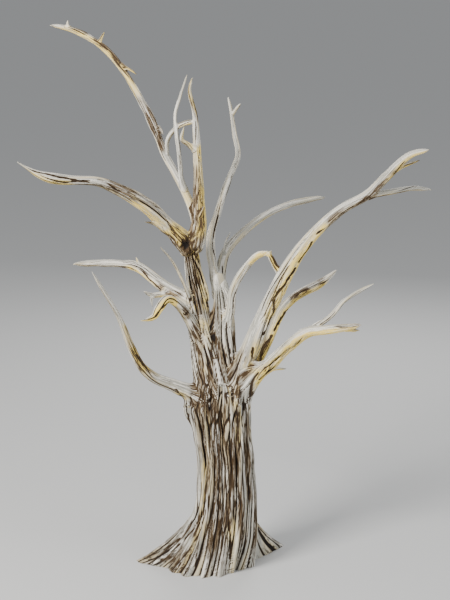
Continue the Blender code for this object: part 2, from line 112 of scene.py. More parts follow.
# Each limb's bends, from inside what carries it to its tip, then its radius at both ends and how fast
# that falls off. Knots are swellings and spurs are broken side twigs.
LIMBS = {
    "left_leader": {
        "bends": (
            (-0.12, 0.00, 2.75), (-0.31, 0.00, 3.45), (-0.40, 0.02, 4.15), (-0.45, 0.05, 4.70),
            (-0.54, 0.09, 5.15), (-0.60, 0.10, 5.62),
        ),
        "radii": (0.31, 0.115),
        "fall": 1.3,
    },
    "centre_stem": {
        "bends": (
            (0.02, 0.05, 2.75), (0.03, 0.08, 3.40), (-0.02, 0.14, 4.00), (-0.05, 0.22, 4.55),
            (-0.10, 0.30, 4.98),
        ),
        "radii": (0.28, 0.11),
        "fall": 1.0,
    },
    "low_left_bough": {
        "bends": (
            (-0.12, 0.02, 2.45), (-0.52, -0.10, 3.00), (-0.85, -0.28, 3.25), (-1.25, -0.54, 3.54),
            (-1.52, -0.76, 4.02), (-1.76, -1.02, 4.70), (-2.11, -1.35, 5.43),
        ),
        "radii": (0.20, 0.028),
        "fall": 2.3,
        "knots": ((0.65, 0.012, 0.16),),
    },
    "large_right_bough": {
        "bends": (
            (0.10, 0.00, 2.80), (0.32, -0.10, 3.55), (0.57, -0.28, 4.27), (0.90, -0.52, 5.09),
            (1.30, -0.70, 5.79), (1.76, -0.88, 6.31), (2.22, -1.01, 6.59), (2.52, -1.11, 6.91),
            (2.84, -1.23, 7.24), (3.15, -1.33, 7.35),
        ),
        "radii": (0.18, 0.030),
        "fall": 0.9,
        "knots": ((0.90, 0.013, 0.10),),
        "spurs": (((2.60, -1.12, 6.98), (2.82, -1.10, 7.09), (3.04, -1.07, 7.15)),),
        "spur_radii": (0.040, 0.020),
    },
    "right_prong": {
        "bends": (
            (2.16, -0.99, 6.55), (2.42, -0.95, 6.61), (2.72, -0.84, 6.65), (3.02, -0.71, 6.66),
            (3.30, -0.58, 6.61),
        ),
        "radii": (0.050, 0.026),
        "fall": 0.7,
    },
    "second_right_bough": {
        "bends": (
            (0.14, 0.10, 2.95), (0.46, 0.25, 3.54), (0.68, 0.42, 3.92), (0.86, 0.62, 4.24),
            (1.14, 0.90, 4.46), (1.62, 1.38, 4.66), (1.97, 1.72, 4.86),
        ),
        "radii": (0.155, 0.024),
        "fall": 0.8,
        "knots": ((0.82, 0.016, 0.12),),
    },
    "third_right_bough": {
        "bends": (
            (0.12, -0.04, 2.85), (0.50, -0.20, 3.42), (0.77, -0.46, 3.76), (1.03, -0.78, 4.09),
            (1.29, -1.08, 4.36), (1.58, -1.42, 4.50), (2.09, -1.98, 4.71),
        ),
        "radii": (0.135, 0.030),
        "fall": 0.7,
        "spurs": (((1.80, -1.66, 4.59), (1.94, -1.74, 4.58), (2.08, -1.80, 4.58)),),
        "spur_radii": (0.040, 0.020),
    },
    "third_right_fork": {
        "bends": (
            (1.25, -1.05, 4.34), (1.50, -1.14, 4.55), (1.68, -1.15, 4.69), (1.92, -1.07, 4.93),
            (2.38, -0.89, 5.15),
        ),
        "radii": (0.048, 0.018),
        "fall": 0.8,
    },
    "right_stub": {
        "bends": (
            (0.18, 0.12, 2.78), (0.44, 0.26, 3.08), (0.56, 0.37, 3.27), (0.74, 0.52, 3.34),
            (1.05, 0.77, 3.31),
        ),
        "radii": (0.075, 0.014),
        "fall": 0.9,
    },
    "middle_left_bough": {
        "bends": (
            (-0.45, 0.06, 4.50), (-0.78, 0.20, 4.71), (-1.05, 0.42, 4.85), (-1.45, 0.78, 5.08),
            (-1.82, 1.12, 5.09), (-2.24, 1.48, 5.02), (-2.73, 1.92, 4.92),
        ),
        "radii": (0.115, 0.030),
        "fall": 0.9,
        "knots": ((0.85, 0.012, 0.15),),
        "spurs": (((-1.45, 0.80, 5.07), (-1.50, 0.80, 5.17), (-1.54, 0.79, 5.27)),),
        "spur_radii": (0.034, 0.012),
    },
    "left_stub": {
        "bends": ((-0.86, 0.28, 4.76), (-1.08, 0.25, 4.73), (-1.24, 0.17, 4.73), (-1.38, 0.08, 4.81)),
        "radii": (0.055, 0.026),
        "fall": 0.8,
        "spurs": (((-1.22, 0.17, 4.74), (-1.24, 0.14, 4.65), (-1.23, 0.10, 4.55)),),
        "spur_radii": (0.030, 0.013),
    },
    "crooked_left_limb": {
        "bends": (
            (-0.40, 0.00, 3.88), (-0.60, -0.16, 4.36), (-0.78, -0.34, 4.66), (-0.96, -0.51, 4.80),
            (-1.09, -0.63, 4.67), (-1.18, -0.70, 4.54), (-1.39, -0.83, 4.52),
        ),
        "radii": (0.110, 0.024),
        "fall": 0.9,
        "knots": ((0.76, 0.020, 0.14),),
        "spurs": (((-0.74, -0.31, 4.60), (-0.78, -0.35, 4.70), (-0.80, -0.37, 4.80)),),
        "spur_radii": (0.036, 0.012),
    },
    "thin_left_twig": {
        "bends": (
            (-0.52, 0.04, 4.50), (-0.67, -0.08, 4.90), (-0.86, -0.28, 5.37), (-1.07, -0.50, 5.68),
        ),
        "radii": (0.032, 0.011),
        "fall": 0.8,
    },
    "upper_left_bough": {
        "bends": (
            (-0.56, 0.09, 5.36), (-0.80, 0.02, 5.76), (-1.08, -0.15, 6.08), (-1.32, -0.32, 6.34),
            (-1.66, -0.54, 6.61), (-2.05, -0.77, 6.80), (-2.58, -1.02, 6.87), (-2.90, -1.17, 6.95),
            (-3.24, -1.33, 7.16),
        ),
        "radii": (0.16, 0.024),
        "fall": 1.1,
        "knots": ((0.83, 0.035, 0.09),),
        "spurs": (
            ((-0.88, -0.06, 5.74), (-1.02, -0.14, 5.90), (-1.16, -0.22, 6.00), (-1.33, -0.36, 6.06)),
        ),
        "spur_radii": (0.048, 0.015),
    },
    "tall_left_bough": {
        "bends": (
            (-0.59, 0.10, 5.40), (-0.50, 0.14, 5.90), (-0.60, 0.22, 6.28), (-0.96, 0.44, 6.99),
            (-1.15, 0.56, 7.46), (-1.45, 0.71, 8.03), (-1.82, 0.90, 8.56), (-2.20, 1.07, 8.88),
            (-2.58, 1.20, 9.08), (-2.98, 1.32, 9.15),
        ),
        "radii": (0.070, 0.038),
        "fall": 1.0,
        "knots": ((0.49, 0.018, 0.07), (0.76, 0.014, 0.05), (0.88, 0.009, 0.05)),
        "spurs": (
            ((-2.14, 1.05, 8.86), (-2.09, 1.03, 8.96), (-2.03, 1.00, 9.06)),
            ((-2.66, 1.22, 9.10), (-2.67, 1.21, 9.17), (-2.66, 1.20, 9.24)),
            ((-1.80, 0.89, 8.53), (-1.63, 0.81, 8.46), (-1.48, 0.73, 8.37)),
            ((-1.14, 0.55, 7.50), (-1.07, 0.50, 7.45), (-1.04, 0.48, 7.38)),
        ),
        "spur_radii": (0.034, 0.011),
    },
    "crown_spike": {
        "bends": (
            (-0.57, 0.08, 5.36), (-0.43, 0.10, 5.86), (-0.45, 0.10, 6.45), (-0.50, 0.07, 7.10),
            (-0.52, 0.00, 7.75), (-0.59, -0.05, 8.13), (-0.54, -0.10, 8.37),
        ),
        "radii": (0.115, 0.016),
        "fall": 0.85,
        "spurs": (
            ((-0.49, 0.06, 7.14), (-0.60, -0.01, 7.26), (-0.72, -0.10, 7.37), (-0.68, -0.17, 7.59)),
            ((-0.44, 0.10, 6.06), (-0.40, 0.05, 6.16), (-0.36, 0.01, 6.27)),
        ),
        "spur_radii": (0.048, 0.015),
    },
    "crown_cross_limb": {
        "bends": (
            (-0.51, 0.01, 7.66), (-0.68, 0.11, 7.61), (-0.83, 0.21, 7.53), (-0.95, 0.32, 7.34),
            (-0.98, 0.43, 7.05),
        ),
        "radii": (0.040, 0.032),
        "fall": 1.0,
    },
    "crown_side_spike": {
        "bends": (
            (-0.64, 0.26, 6.40), (-0.74, 0.22, 6.70), (-0.77, 0.17, 7.05), (-0.81, 0.15, 7.42),
            (-0.83, 0.22, 7.74), (-0.76, 0.34, 8.02), (-0.64, 0.42, 8.39),
        ),
        "radii": (0.044, 0.014),
        "fall": 0.8,
    },
    "s_bough": {
        "bends": (
            (-0.09, 0.28, 4.55), (-0.22, 0.48, 5.05), (-0.28, 0.61, 5.60), (-0.15, 0.74, 6.08),
            (0.03, 0.88, 6.56), (0.20, 1.01, 6.96), (0.15, 1.12, 7.34), (0.10, 1.22, 7.68),
            (0.04, 1.31, 7.95),
        ),
        "radii": (0.085, 0.020),
        "fall": 0.8,
        "spurs": (((0.11, 1.20, 7.64), (0.18, 1.17, 7.76), (0.25, 1.12, 7.85)),),
        "spur_radii": (0.032, 0.016),
    },
    "middle_right_bough": {
        "bends": (
            (-0.06, 0.26, 4.50), (-0.11, 0.50, 4.86), (-0.04, 0.84, 5.25), (0.18, 1.11, 5.51),
            (0.55, 1.50, 5.76), (1.10, 1.98, 5.99), (1.79, 2.50, 6.06),
        ),
        "radii": (0.095, 0.026),
        "fall": 0.9,
        "knots": ((0.85, 0.014, 0.15),),
        "spurs": (((-0.05, 0.84, 5.26), (-0.01, 0.79, 5.50), (0.08, 0.72, 5.72)),),
        "spur_radii": (0.024, 0.009),
    },
    "arch_limb_rise": {
        "bends": (
            (0.00, 0.12, 4.05), (0.07, -0.02, 4.50), (0.09, -0.10, 4.82), (0.20, -0.17, 5.12),
            (0.44, -0.29, 5.45), (0.69, -0.38, 5.58),
        ),
        "radii": (0.075, 0.048),
        "fall": 1.0,
    },
    "arch_limb_fall": {
        "bends": ((0.67, -0.37, 5.56), (0.74, -0.41, 5.46), (0.82, -0.46, 5.32), (0.96, -0.55, 5.20)),
        "radii": (0.048, 0.052),
        "fall": 1.0,
    },
}

LEADERS = ("left_leader", "centre_stem")
LEFT_BOUGHS = ("low_left_bough", "middle_left_bough", "upper_left_bough", "tall_left_bough")
RIGHT_BOUGHS = (
    "large_right_bough", "right_prong", "second_right_bough", "third_right_bough", "third_right_fork",
    "middle_right_bough", "s_bough",
)
SMALL_LIMBS = (
    "right_stub", "left_stub", "crooked_left_limb", "thin_left_twig", "crown_spike", "crown_cross_limb",
    "crown_side_spike", "arch_limb_rise", "arch_limb_fall",
)

# Sinews: cords of wood that run over the skin from one member to the next. Each has its radius at both
# ends and the places, across and up, that it passes over, as seen from the front or from the back.
FRONT_SINEWS = (
    ((0.018, 0.030), ((-0.59, 5.56), (-0.45, 5.23), (-0.34, 4.92), (-0.31, 4.70), (-0.33, 4.50))),
    (
        (0.020, 0.036),
        (
            (-0.50, 4.62), (-0.38, 4.24), (-0.25, 3.87), (-0.12, 3.52), (-0.02, 3.32), (0.05, 3.05),
            (0.06, 2.75),
        ),
    ),
    (
        (0.030, 0.026),
        (
            (-0.62, 4.46), (-0.55, 4.11), (-0.37, 3.83), (-0.32, 3.41), (-0.30, 3.18), (-0.27, 2.80),
            (-0.26, 2.4),
        ),
    ),
    ((0.016, 0.024), ((-0.50, 5.10), (-0.45, 4.84), (-0.38, 4.47), (-0.28, 4.04), (-0.20, 3.70))),
    (
        (0.020, 0.026),
        (
            (-0.60, 5.30), (-0.63, 4.99), (-0.57, 4.66), (-0.45, 4.34), (-0.35, 3.96), (-0.24, 3.60),
            (-0.17, 3.2),
        ),
    ),
    (
        (0.050, 0.034),
        (
            (-0.83, 3.24), (-0.66, 2.98), (-0.53, 2.60), (-0.46, 2.20), (-0.43, 1.72), (-0.45, 1.35),
            (-0.53, 0.98), (-0.70, 0.68), (-0.98, 0.38), (-1.30, 0.14),
        ),
    ),
    (
        (0.030, 0.034),
        (
            (-0.60, 3.10), (-0.50, 2.76), (-0.43, 2.33), (-0.38, 1.90), (-0.37, 1.40), (-0.45, 1.00),
            (-0.60, 0.70), (-0.86, 0.38), (-1.12, 0.12),
        ),
    ),
    (
        (0.026, 0.032),
        (
            (-0.58, 3.85), (-0.55, 3.50), (-0.49, 3.14), (-0.37, 2.80), (-0.31, 2.30), (-0.29, 1.66),
            (-0.33, 1.15), (-0.45, 0.75), (-0.66, 0.36), (-0.80, 0.12),
        ),
    ),
    (
        (0.030, 0.034),
        (
            (-0.07, 3.20), (-0.14, 2.88), (-0.23, 2.50), (-0.25, 1.98), (-0.25, 1.50), (-0.31, 1.05),
            (-0.42, 0.60), (-0.52, 0.16),
        ),
    ),
    (
        (0.028, 0.030),
        (
            (0.17, 3.18), (0.16, 2.80), (0.12, 2.30), (0.12, 1.69), (0.08, 1.20), (0.10, 0.75),
            (0.06, 0.30),
        ),
    ),
    (
        (0.028, 0.026),
        ((0.32, 3.10), (0.28, 2.70), (0.25, 2.10), (0.25, 1.55), (0.29, 1.05), (0.26, 0.5)),
    ),
    (
        (0.040, 0.030),
        ((0.72, 3.72), (0.52, 3.42), (0.40, 3.08), (0.39, 2.60), (0.40, 2.05), (0.40, 1.4)),
    ),
    ((0.034, 0.026), ((0.40, 3.75), (0.24, 3.35), (0.16, 3.02), (0.02, 2.60), (-0.02, 2.1))),
    ((0.028, 0.024), ((0.06, 4.30), (0.08, 3.85), (0.14, 3.45), (0.20, 3.15), (0.22, 2.8))),
)
BACK_SINEWS = (
    (
        (0.022, 0.036),
        (
            (-0.58, 5.50), (-0.52, 5.05), (-0.46, 4.55), (-0.36, 4.05), (-0.26, 3.60), (-0.22, 3.15),
            (-0.25, 2.5),
        ),
    ),
    (
        (0.026, 0.034),
        (
            (-0.06, 4.85), (-0.04, 4.35), (0.04, 3.85), (0.09, 3.40), (0.06, 3.00), (0.00, 2.40),
            (0.02, 1.70),
        ),
    ),
    (
        (0.040, 0.032),
        (
            (0.60, 3.82), (0.42, 3.48), (0.32, 3.10), (0.27, 2.60), (0.26, 1.90), (0.31, 1.35),
            (0.44, 0.90), (0.66, 0.50), (0.92, 0.16),
        ),
    ),
    (
        (0.030, 0.030),
        (
            (-0.66, 3.10), (-0.48, 2.70), (-0.40, 2.10), (-0.36, 1.50), (-0.46, 0.95), (-0.62, 0.50),
            (-0.74, 0.14),
        ),
    ),
    (
        (0.030, 0.040),
        ((-0.20, 3.20), (-0.16, 2.60), (-0.14, 1.90), (-0.10, 1.30), (0.02, 0.70), (0.10, 0.2)),
    ),
    (
        (0.026, 0.032),
        ((0.20, 3.05), (0.14, 2.50), (0.12, 1.80), (0.12, 1.20), (0.13, 0.60), (0.14, 0.18)),
    ),
    ((0.030, 0.026), ((-0.40, 3.70), (-0.38, 3.30), (-0.36, 2.90), (-0.30, 2.40), (-0.27, 1.8))),
    (
        (0.030, 0.026),
        ((0.36, 4.10), (0.22, 3.70), (0.20, 3.35), (0.34, 3.00), (0.38, 2.50), (0.39, 1.9)),
    ),
)

# Hollows where a bough has rotted out or a twig has dropped: place, radius, depth, and how many times
# taller than wide.
# Each hollow's pit is also painted dark, as painted shade.
HOLLOWS = (
    ((-0.66, -0.07, 5.64), 0.085, 0.050, 1.2),
    ((-0.58, -0.07, 5.42), 0.050, 0.030, 2.2),
    ((-0.66, -0.32, 4.53), 0.034, 0.030, 1.0),
    ((-0.20, -0.10, 4.05), 0.040, 0.030, 4.0),
    ((-0.02, -0.12, 3.62), 0.045, 0.030, 4.0),
    ((0.92, -0.62, 4.92), 0.026, 0.022, 2.0),
    ((1.02, 0.72, 4.32), 0.024, 0.020, 2.0),
    ((-0.42, 0.27, 4.20), 0.045, 0.035, 2.5),
    ((0.10, 0.44, 2.30), 0.070, 0.045, 3.0),
    ((-0.36, 0.34, 1.75), 0.045, 0.030, 3.0),
    ((0.45, 0.10, 1.60), 0.050, 0.035, 3.0),
    ((-1.12, 0.55, 7.40), 0.026, 0.018, 1.5),
)

# Rotten, brown zones: half width, and the places across and up that each runs through on the front.
STAINS = (
    (0.100, ((-0.26, 4.50), (-0.19, 4.10), (-0.10, 3.84), (0.01, 3.60), (0.11, 3.42), (0.18, 3.20))),
    (0.100, ((-0.72, 5.74), (-0.64, 5.58), (-0.58, 5.38))),
    (0.050, ((-0.60, 5.45), (-0.52, 5.15), (-0.44, 4.85))),
    (0.120, ((-0.50, 3.35), (-0.44, 3.00), (-0.38, 2.60), (-0.34, 2.25))),
    (0.100, ((-0.28, 3.60), (-0.25, 3.25), (-0.20, 2.90))),
    (0.090, ((-0.32, 1.25), (-0.42, 0.97), (-0.55, 0.68))),
    (
        0.200,
        (
            (-0.18, 2.85), (-0.13, 2.40), (-0.09, 2.00), (-0.05, 1.60), (-0.06, 1.30), (-0.14, 1.00),
            (-0.24, 0.70),
        ),
    ),
    (0.080, ((0.17, 2.80), (0.15, 2.30), (0.12, 1.80), (0.10, 1.20))),
    (0.050, ((-0.68, 4.60), (-0.65, 4.47))),
    (0.060, ((0.28, 3.42), (0.45, 3.62), (0.60, 3.85))),
    (0.070, ((-0.52, 5.00), (-0.46, 4.70), (-0.43, 4.45))),
    (0.080, ((-0.50, 4.25), (-0.46, 3.95), (-0.42, 3.60), (-0.42, 3.30))),
    (0.060, ((0.12, 4.10), (0.16, 3.70), (0.22, 3.40))),
)

# Long splits down a limb: from one share to another, the side that each opens on and its half width.
SPLITS = {
    "large_right_bough": (
        (0.12, 0.66, (0.50, -0.85, -0.20), 0.020),
        (0.70, 0.93, (0.35, -0.90, -0.20), 0.013),
        (0.30, 0.52, (0.00, -0.95, 0.10), 0.008),
        (0.20, 0.70, (-0.20, 0.90, -0.20), 0.014),
    ),
    "upper_left_bough": (
        (0.46, 0.94, (0.05, -0.95, 0.35), 0.013),
        (0.50, 0.88, (0.05, -0.95, -0.25), 0.011),
        (0.12, 0.44, (0.20, -0.85, 0.45), 0.017),
        (0.20, 0.80, (0.10, 0.90, -0.10), 0.014),
    ),
    "crown_spike": (
        (0.05, 0.46, (-0.15, -1.00, 0.00), 0.012),
        (0.22, 0.62, (0.60, -0.80, 0.00), 0.008),
        (0.64, 0.80, (0.00, -1.00, 0.00), 0.007),
        (0.10, 0.60, (0.10, 0.90, 0.00), 0.012),
    ),
    "second_right_bough": (
        (0.10, 0.62, (0.30, -0.90, -0.30), 0.022),
        (0.64, 0.90, (0.20, -0.90, 0.10), 0.014),
        (0.20, 0.70, (-0.30, 0.80, -0.30), 0.012),
    ),
    "third_right_bough": (
        (0.18, 0.62, (0.15, -0.95, 0.00), 0.019),
        (0.84, 0.99, (0.00, -0.90, 0.35), 0.012),
        (0.25, 0.80, (0.00, 0.90, -0.20), 0.012),
    ),
    "low_left_bough": (
        (0.40, 0.62, (0.60, -0.75, 0.20), 0.014),
        (0.14, 0.34, (0.10, -0.80, -0.50), 0.011),
        (0.20, 0.60, (0.00, 0.90, 0.20), 0.011),
    ),
    "middle_left_bough": (
        (0.20, 0.42, (0.00, -0.90, -0.20), 0.013),
        (0.44, 0.62, (0.10, -0.80, -0.50), 0.010),
    ),
    "tall_left_bough": (
        (0.70, 0.80, (0.45, -0.80, 0.20), 0.012),
        (0.38, 0.52, (-0.20, -0.90, -0.20), 0.008),
        (0.86, 0.95, (0.10, -0.90, 0.30), 0.008),
    ),
    "arch_limb_fall": ((0.15, 0.95, (0.70, -0.65, 0.20), 0.013),),
    "arch_limb_rise": ((0.10, 0.50, (0.60, -0.80, 0.00), 0.009),),
    "s_bough": ((0.20, 0.48, (0.70, -0.70, 0.00), 0.007), (0.55, 0.80, (0.50, -0.80, 0.10), 0.006)),
    "middle_right_bough": ((0.15, 0.45, (0.50, -0.75, -0.30), 0.009),),
    "crooked_left_limb": (
        (0.60, 0.97, (0.30, -0.90, -0.20), 0.009),
        (0.08, 0.32, (0.30, -0.90, 0.10), 0.010),
    ),
}

# Warm and brown stretches of the limbs: from one share of the limb to another, the side that shows
# them most, and how strong they are.
# Most amber stretches face down or to the right, away from the key lamp: their amber is partly the wood's
# tint and partly painted shade.
AMBER_STRETCHES = {
    "left_leader": ((0.62, 0.98, (0.95, -0.3, 0.0), 0.9), (0.30, 0.55, (0.6, -0.6, 0.2), 0.5)),
    "centre_stem": ((0.30, 0.60, (-0.8, 0.2, -0.3), 0.5),),
    "low_left_bough": ((0.12, 0.34, (0.2, -0.2, -0.9), 0.9), (0.45, 0.68, (0.8, -0.5, -0.2), 0.9)),
    "large_right_bough": (
        (0.34, 0.66, (0.3, -0.5, -0.8), 0.8),
        (0.84, 1.00, (0.3, -0.3, -0.95), 0.9),
        (0.10, 0.25, (0.7, -0.3, -0.4), 0.6),
    ),
    "second_right_bough": ((0.12, 0.88, (0.15, -0.70, -0.7), 1.6),),
    "third_right_bough": ((0.20, 0.98, (0.05, -0.70, -0.7), 1.5),),
    "right_stub": ((0.25, 0.95, (0.1, -0.5, -0.9), 1.2),),
    "middle_left_bough": ((0.30, 0.52, (-0.1, -0.5, -0.9), 0.8),),
    "left_stub": ((0.20, 0.60, (0.0, -0.4, -0.9), 0.5),),
    "crooked_left_limb": ((0.58, 1.00, (0.2, -0.9, -0.5), 1.3),),
    "upper_left_bough": (
        (0.03, 0.22, (0.3, -0.8, 0.4), 1.0),
        (0.26, 0.44, (-0.3, -0.7, -0.6), 1.3),
        (0.76, 0.95, (0.0, -0.5, -0.9), 0.5),
    ),
    "tall_left_bough": ((0.58, 0.98, (0.0, -0.8, -0.4), 0.7), (0.05, 0.20, (0.4, -0.8, 0.0), 0.5)),
    "crown_spike": ((0.14, 0.62, (0.85, -0.5, 0.0), 1.4), (0.84, 0.97, (0.2, -0.9, 0.0), 0.6)),
    "crown_cross_limb": ((0.00, 0.40, (0.0, -0.5, -0.8), 0.6),),
    "arch_limb_rise": ((0.80, 1.00, (0.3, -0.8, -0.3), 0.9),),
    "arch_limb_fall": ((0.10, 0.90, (0.2, -0.9, 0.1), 1.1),),
    "middle_right_bough": ((0.35, 0.60, (0.0, -0.3, -0.9), 0.4),),
}
BROWN_STRETCHES = {
    "left_leader": ((0.80, 1.00, (0.1, -1.0, 0.0), 1.2),),
    "low_left_bough": ((0.46, 0.66, (0.6, -0.8, 0.2), 1.0),),
    "large_right_bough": ((0.04, 0.16, (-0.3, -0.8, 0.3), 0.7), (0.70, 0.90, (0.5, -0.6, -0.5), 0.9)),
    "second_right_bough": ((0.10, 0.34, (0.0, -0.9, -0.3), 1.3), (0.62, 0.86, (0.4, -0.7, 0.2), 0.7)),
    "third_right_bough": ((0.90, 1.00, (0.0, -0.6, 0.6), 0.9),),
    "middle_left_bough": ((0.12, 0.26, (0.0, -0.8, -0.6), 1.0),),
    "upper_left_bough": ((0.02, 0.20, (0.0, -0.8, -0.4), 1.2), (0.34, 0.62, (0.3, -0.6, 0.6), 0.8)),
    "tall_left_bough": (
        (0.68, 0.80, (0.4, -0.7, 0.5), 1.0),
        (0.40, 0.54, (0.3, -0.8, 0.2), 0.9),
        (0.86, 0.93, (0.2, -0.6, 0.6), 0.7),
    ),
    "crown_spike": ((0.04, 0.50, (-0.4, -0.9, 0.0), 1.7), (0.80, 0.92, (0.3, -0.9, 0.0), 0.8)),
    "arch_limb_fall": ((0.20, 1.00, (0.7, -0.6, 0.3), 1.0),),
    "right_stub": ((0.20, 0.60, (-0.6, -0.6, 0.3), 0.6),),
}

# Brown streaks on the trunk's sides and back: bearing, lowest and highest point, and half width.
TRUNK_STREAKS = (
    (300, 0.60, 1.60, 6),
    (322, 1.30, 2.60, 6),
    (345, 0.40, 1.50, 7),
    (20, 1.10, 2.80, 9),
    (50, 0.30, 1.10, 7),
    (75, 0.50, 1.90, 8),
    (98, 1.80, 3.10, 9),
    (118, 0.60, 1.60, 8),
    (150, 0.70, 2.40, 7),
    (170, 2.00, 3.00, 6),
)

# The trunk's sheet.
TRUNK_SIDES = 560  # faces round
TRUNK_RINGS = 164  # faces up
TRUNK_CROWDING = 1.25  # how much closer the rings lie at the foot
OUTLINE_STEPS = 1441  # points at which a ring's outline is walked

# How far to the front and the back the tree's skin is looked for, and in how many steps.
SKIN_REACH = 1.4
SKIN_STEPS = 561

# A limb's sheet.
FACE_WIDTH = 0.0065
FACE_LENGTH = 2.6  # in face widths
LEADER_FACE_LENGTH = 1.5
LEAST_SIDES = 32
MOST_SIDES = 190
WIDE_FACE = 0.62  # how much of a wider face's width counts
LIMB_CROWDING = 1.3  # how much closer the rings lie at the foot
RINGS_SHARE = 1.15  # rings for each face length

# A limb's centre line.
STEPS_PER_BEND = 60
COURSE_STEP = 0.02
LEAST_STEPS = 8
SWAY_MOST = 0.9  # how far it strays from its bends, in radii
SWAY_PACE = 0.0875  # how soon it turns back, in cells of noise to the radius

# A limb's foot, slim inside what carries it, and the least of three lengths over which it fills out.
FOOT_SLIM = 0.3
ROOT_RADII = 3.2  # in radii of the foot
ROOT_MOST = 0.45
ROOT_SHARE = 0.3  # of the limb

# How far back each limb's tip is worn to a point.
TIP_LENGTH = 0.14
TIP_LENGTHS = {
    "left_leader": 0.12,
    "centre_stem": 0.22,
    "low_left_bough": 0.30,
    "middle_left_bough": 0.30,
    "upper_left_bough": 0.42,
    "tall_left_bough": 0.22,
    "crooked_left_limb": 0.20,
}
TIP_SHARE = 0.25  # the most of a limb
BARE_TIP = (1.1, 0.3)  # how many tips from the end the seams begin to fade and are gone

# The grain.
TRUNK_GRAIN_RADIUS = 0.50
TOE_SPREAD = 0.75  # how far it runs on for each metre out on a root toe
TOE_SPREADS_FROM = 0.55  # how far out that begins
TOE_LINES = (0.60, 1.00)  # how far out the toes' lines begin and are full
GRAIN_TWIST = 0.36  # a limb's, in radians to the metre
GRAIN_APART = 3.7  # what keeps two limbs' places in the noise apart

# The seams: how many sway as one, and how far from side to side, in seams.
SWAY_SEAMS = 4.0
SEAM_SWAY = 2.0
SWAY_FROM = 3.3  # where in its noise the sway is read, in cells
SEAM_APART = 1.37  # and how far apart two seams' openings are read in theirs
OPENING_ROW = 0.5
OPENING_PACE = 0.8  # cells of that noise to a seam's run

# The trunk's deep seams, fine seams and flakes: how long they run, their seed and the two levels of
# noise between which they open.
TRUNK_DEEP = (1.3, 11, (0.15, 0.45))
TRUNK_FINE = (0.7, 23, (0.20, 0.55))
TRUNK_FLAKES = (0.16, 37, (0.35, 0.60))
TOE_OPENING = 0.25  # how much lower both levels are for the fine seams on the toes
FLAKE_WIDTH = 0.055

# The limbs' seams.
LEAST_SEAMS = 5
MOST_SEAMS = 24
FINE_PER_DEEP = 2.2
FACES_PER_SEAM = 5  # the fewest for a fine one
STOUT_RUN = 1.1  # on a leader
SLIM_RUN = (0.45, 1.5)  # on another limb, and how much more for each metre of radius
FINE_RUN = 0.6  # of a deep seam's
STOUT_OPENINGS = ((0.12, 0.45), (0.25, 0.55))  # of the deep seams and of the fine ones
SLIM_OPENINGS = ((0.46, 0.76), (0.45, 0.75))

# The seeds of the trunk's other noises, and what is added to a limb's own seed for each of its noises.
TRUNK_SEEDS = {"swell": 41, "patches": 53, "warmth": 59, "brown": 61, "creases": 67, "hollows": 71}
LIMB_SEEDS = {"fine": 3, "lumps": 9, "tip": 13, "sway": 20, "tints": 30, "splits": 41, "wander": 50}

# The relief, as shares of a deep seam's depth.
RIB_PROUD = 0.26  # how far the ribs stand out
FINE_CUT = 0.41
FLAKE_CUT = 0.50
CREASE_CUT = 0.45
CREST_CALM = 0.65  # how much a sinew's crest smooths away
TRUNK_SWELL = 0.025  # the trunk's broad unevenness, in metres

# How strongly each cut darkens the wood, next to a deep seam; the darkening of a sinew's crease is painted
# shade.
TRUNK_FINE_DARK = 0.80
LIMB_FINE_DARK = 0.70
FLAKE_DARK = 0.90
CREASE_SHADE = 0.75

# The depth at which each cut starts to darken and is darkest.
LIMB_DEEP_DARKENS = (0.45, 0.90)
LIMB_FINE_DARKENS = (0.55, 0.95)
FLAKE_DARKENS = (0.35, 0.85)
TRUNK_DEEP_DARKENS = (0.64, 0.12)  # counted back from 1, and less as the toes spread
TRUNK_FINE_DARKENS = (0.60, 0.12)
TOE_NARROWS = 0.8  # the power of that spread

# The hollows' ragged outlines and their lips.
HOLLOW_CELLS = (34, 34, 9)  # of noise, to the metre
HOLLOW_RAGS = 0.9
LIP_AT = 1.4  # in radii of the hollow
LIP_WIDTH = 0.35
LIP_RISE = 0.25  # of the hollow's depth
LIP_WARM = 0.15

# The sinews' ends, and the crest and the crease that each makes in the skin; the crease is also painted
# dark, as painted shade.
SINEW_ENDS = (0.22, 0.75)  # the shares of its length between which one is full
SINEW_THIN = 0.15  # of its radius, at both ends
CREST_ENDS = (0.10, 0.45)  # how far out the crest begins to fade and is gone, in radii
CREASE_AT = 0.65  # in radii
CREASE_WIDTH = 0.30
CREASE_LEAST = 0.012  # the least width, in metres
CREASE_CELLS = (12, 12, 4)  # of the noise that breaks it, to the metre
CREASE_BROKEN = (0.30, 0.60)

# What the finished shape adds to the colours as painted shade: darkness in its cavities, amber and brown on
# its under sides.
CAVITY_ROUNDS = 4  # of smoothing
CAVITY_SHADE_LEVELS = (0.05, 0.26)
CAVITY_PAINTED_SHADE = 0.6
UNDER_SIDES = (0.25, 0.85)  # how far down the skin faces
UNDER_SHADE_WARM = 0.35
UNDER_SHADE_BROWN = 0.55
CREST_BARE = 0.5  # how much of the brown a sinew's crest sheds
MARK_MOST = 1.5  # the strongest mark

# The long splits.
SPLIT_WANDER = 3.1  # cells of noise to the metre
SPLIT_TURN = 1.1  # how far one wanders, in radians
SPLIT_BRIDGES = 5.5  # cells of noise to the metre
SPLIT_BRIDGED = (0.06, 0.30)  # the levels at which one is bridged and is open
SPLIT_TEETH = 24.0  # cells of noise to the metre, at the ragged edges
SPLIT_RAGS = (0.55, 0.90)  # the least width there, and what the noise adds
SPLIT_ENDS = ((0.05, 0.08), (0.08, 0.05))  # the shares of the limb over which one opens and closes
SPLIT_NARROW = 0.25  # its width at the ends
SPLIT_RADII = 0.4  # the deepest cut, in radii of the limb
SPLIT_WIDTHS = 1.2  # the same, in half widths
SPLIT_EDGE = 0.45  # how open it is at its edges, which are painted dark as painted shade
SPLIT_EDGE_WIDTH = 0.22
SPLIT_EDGE_SHADE = 0.75

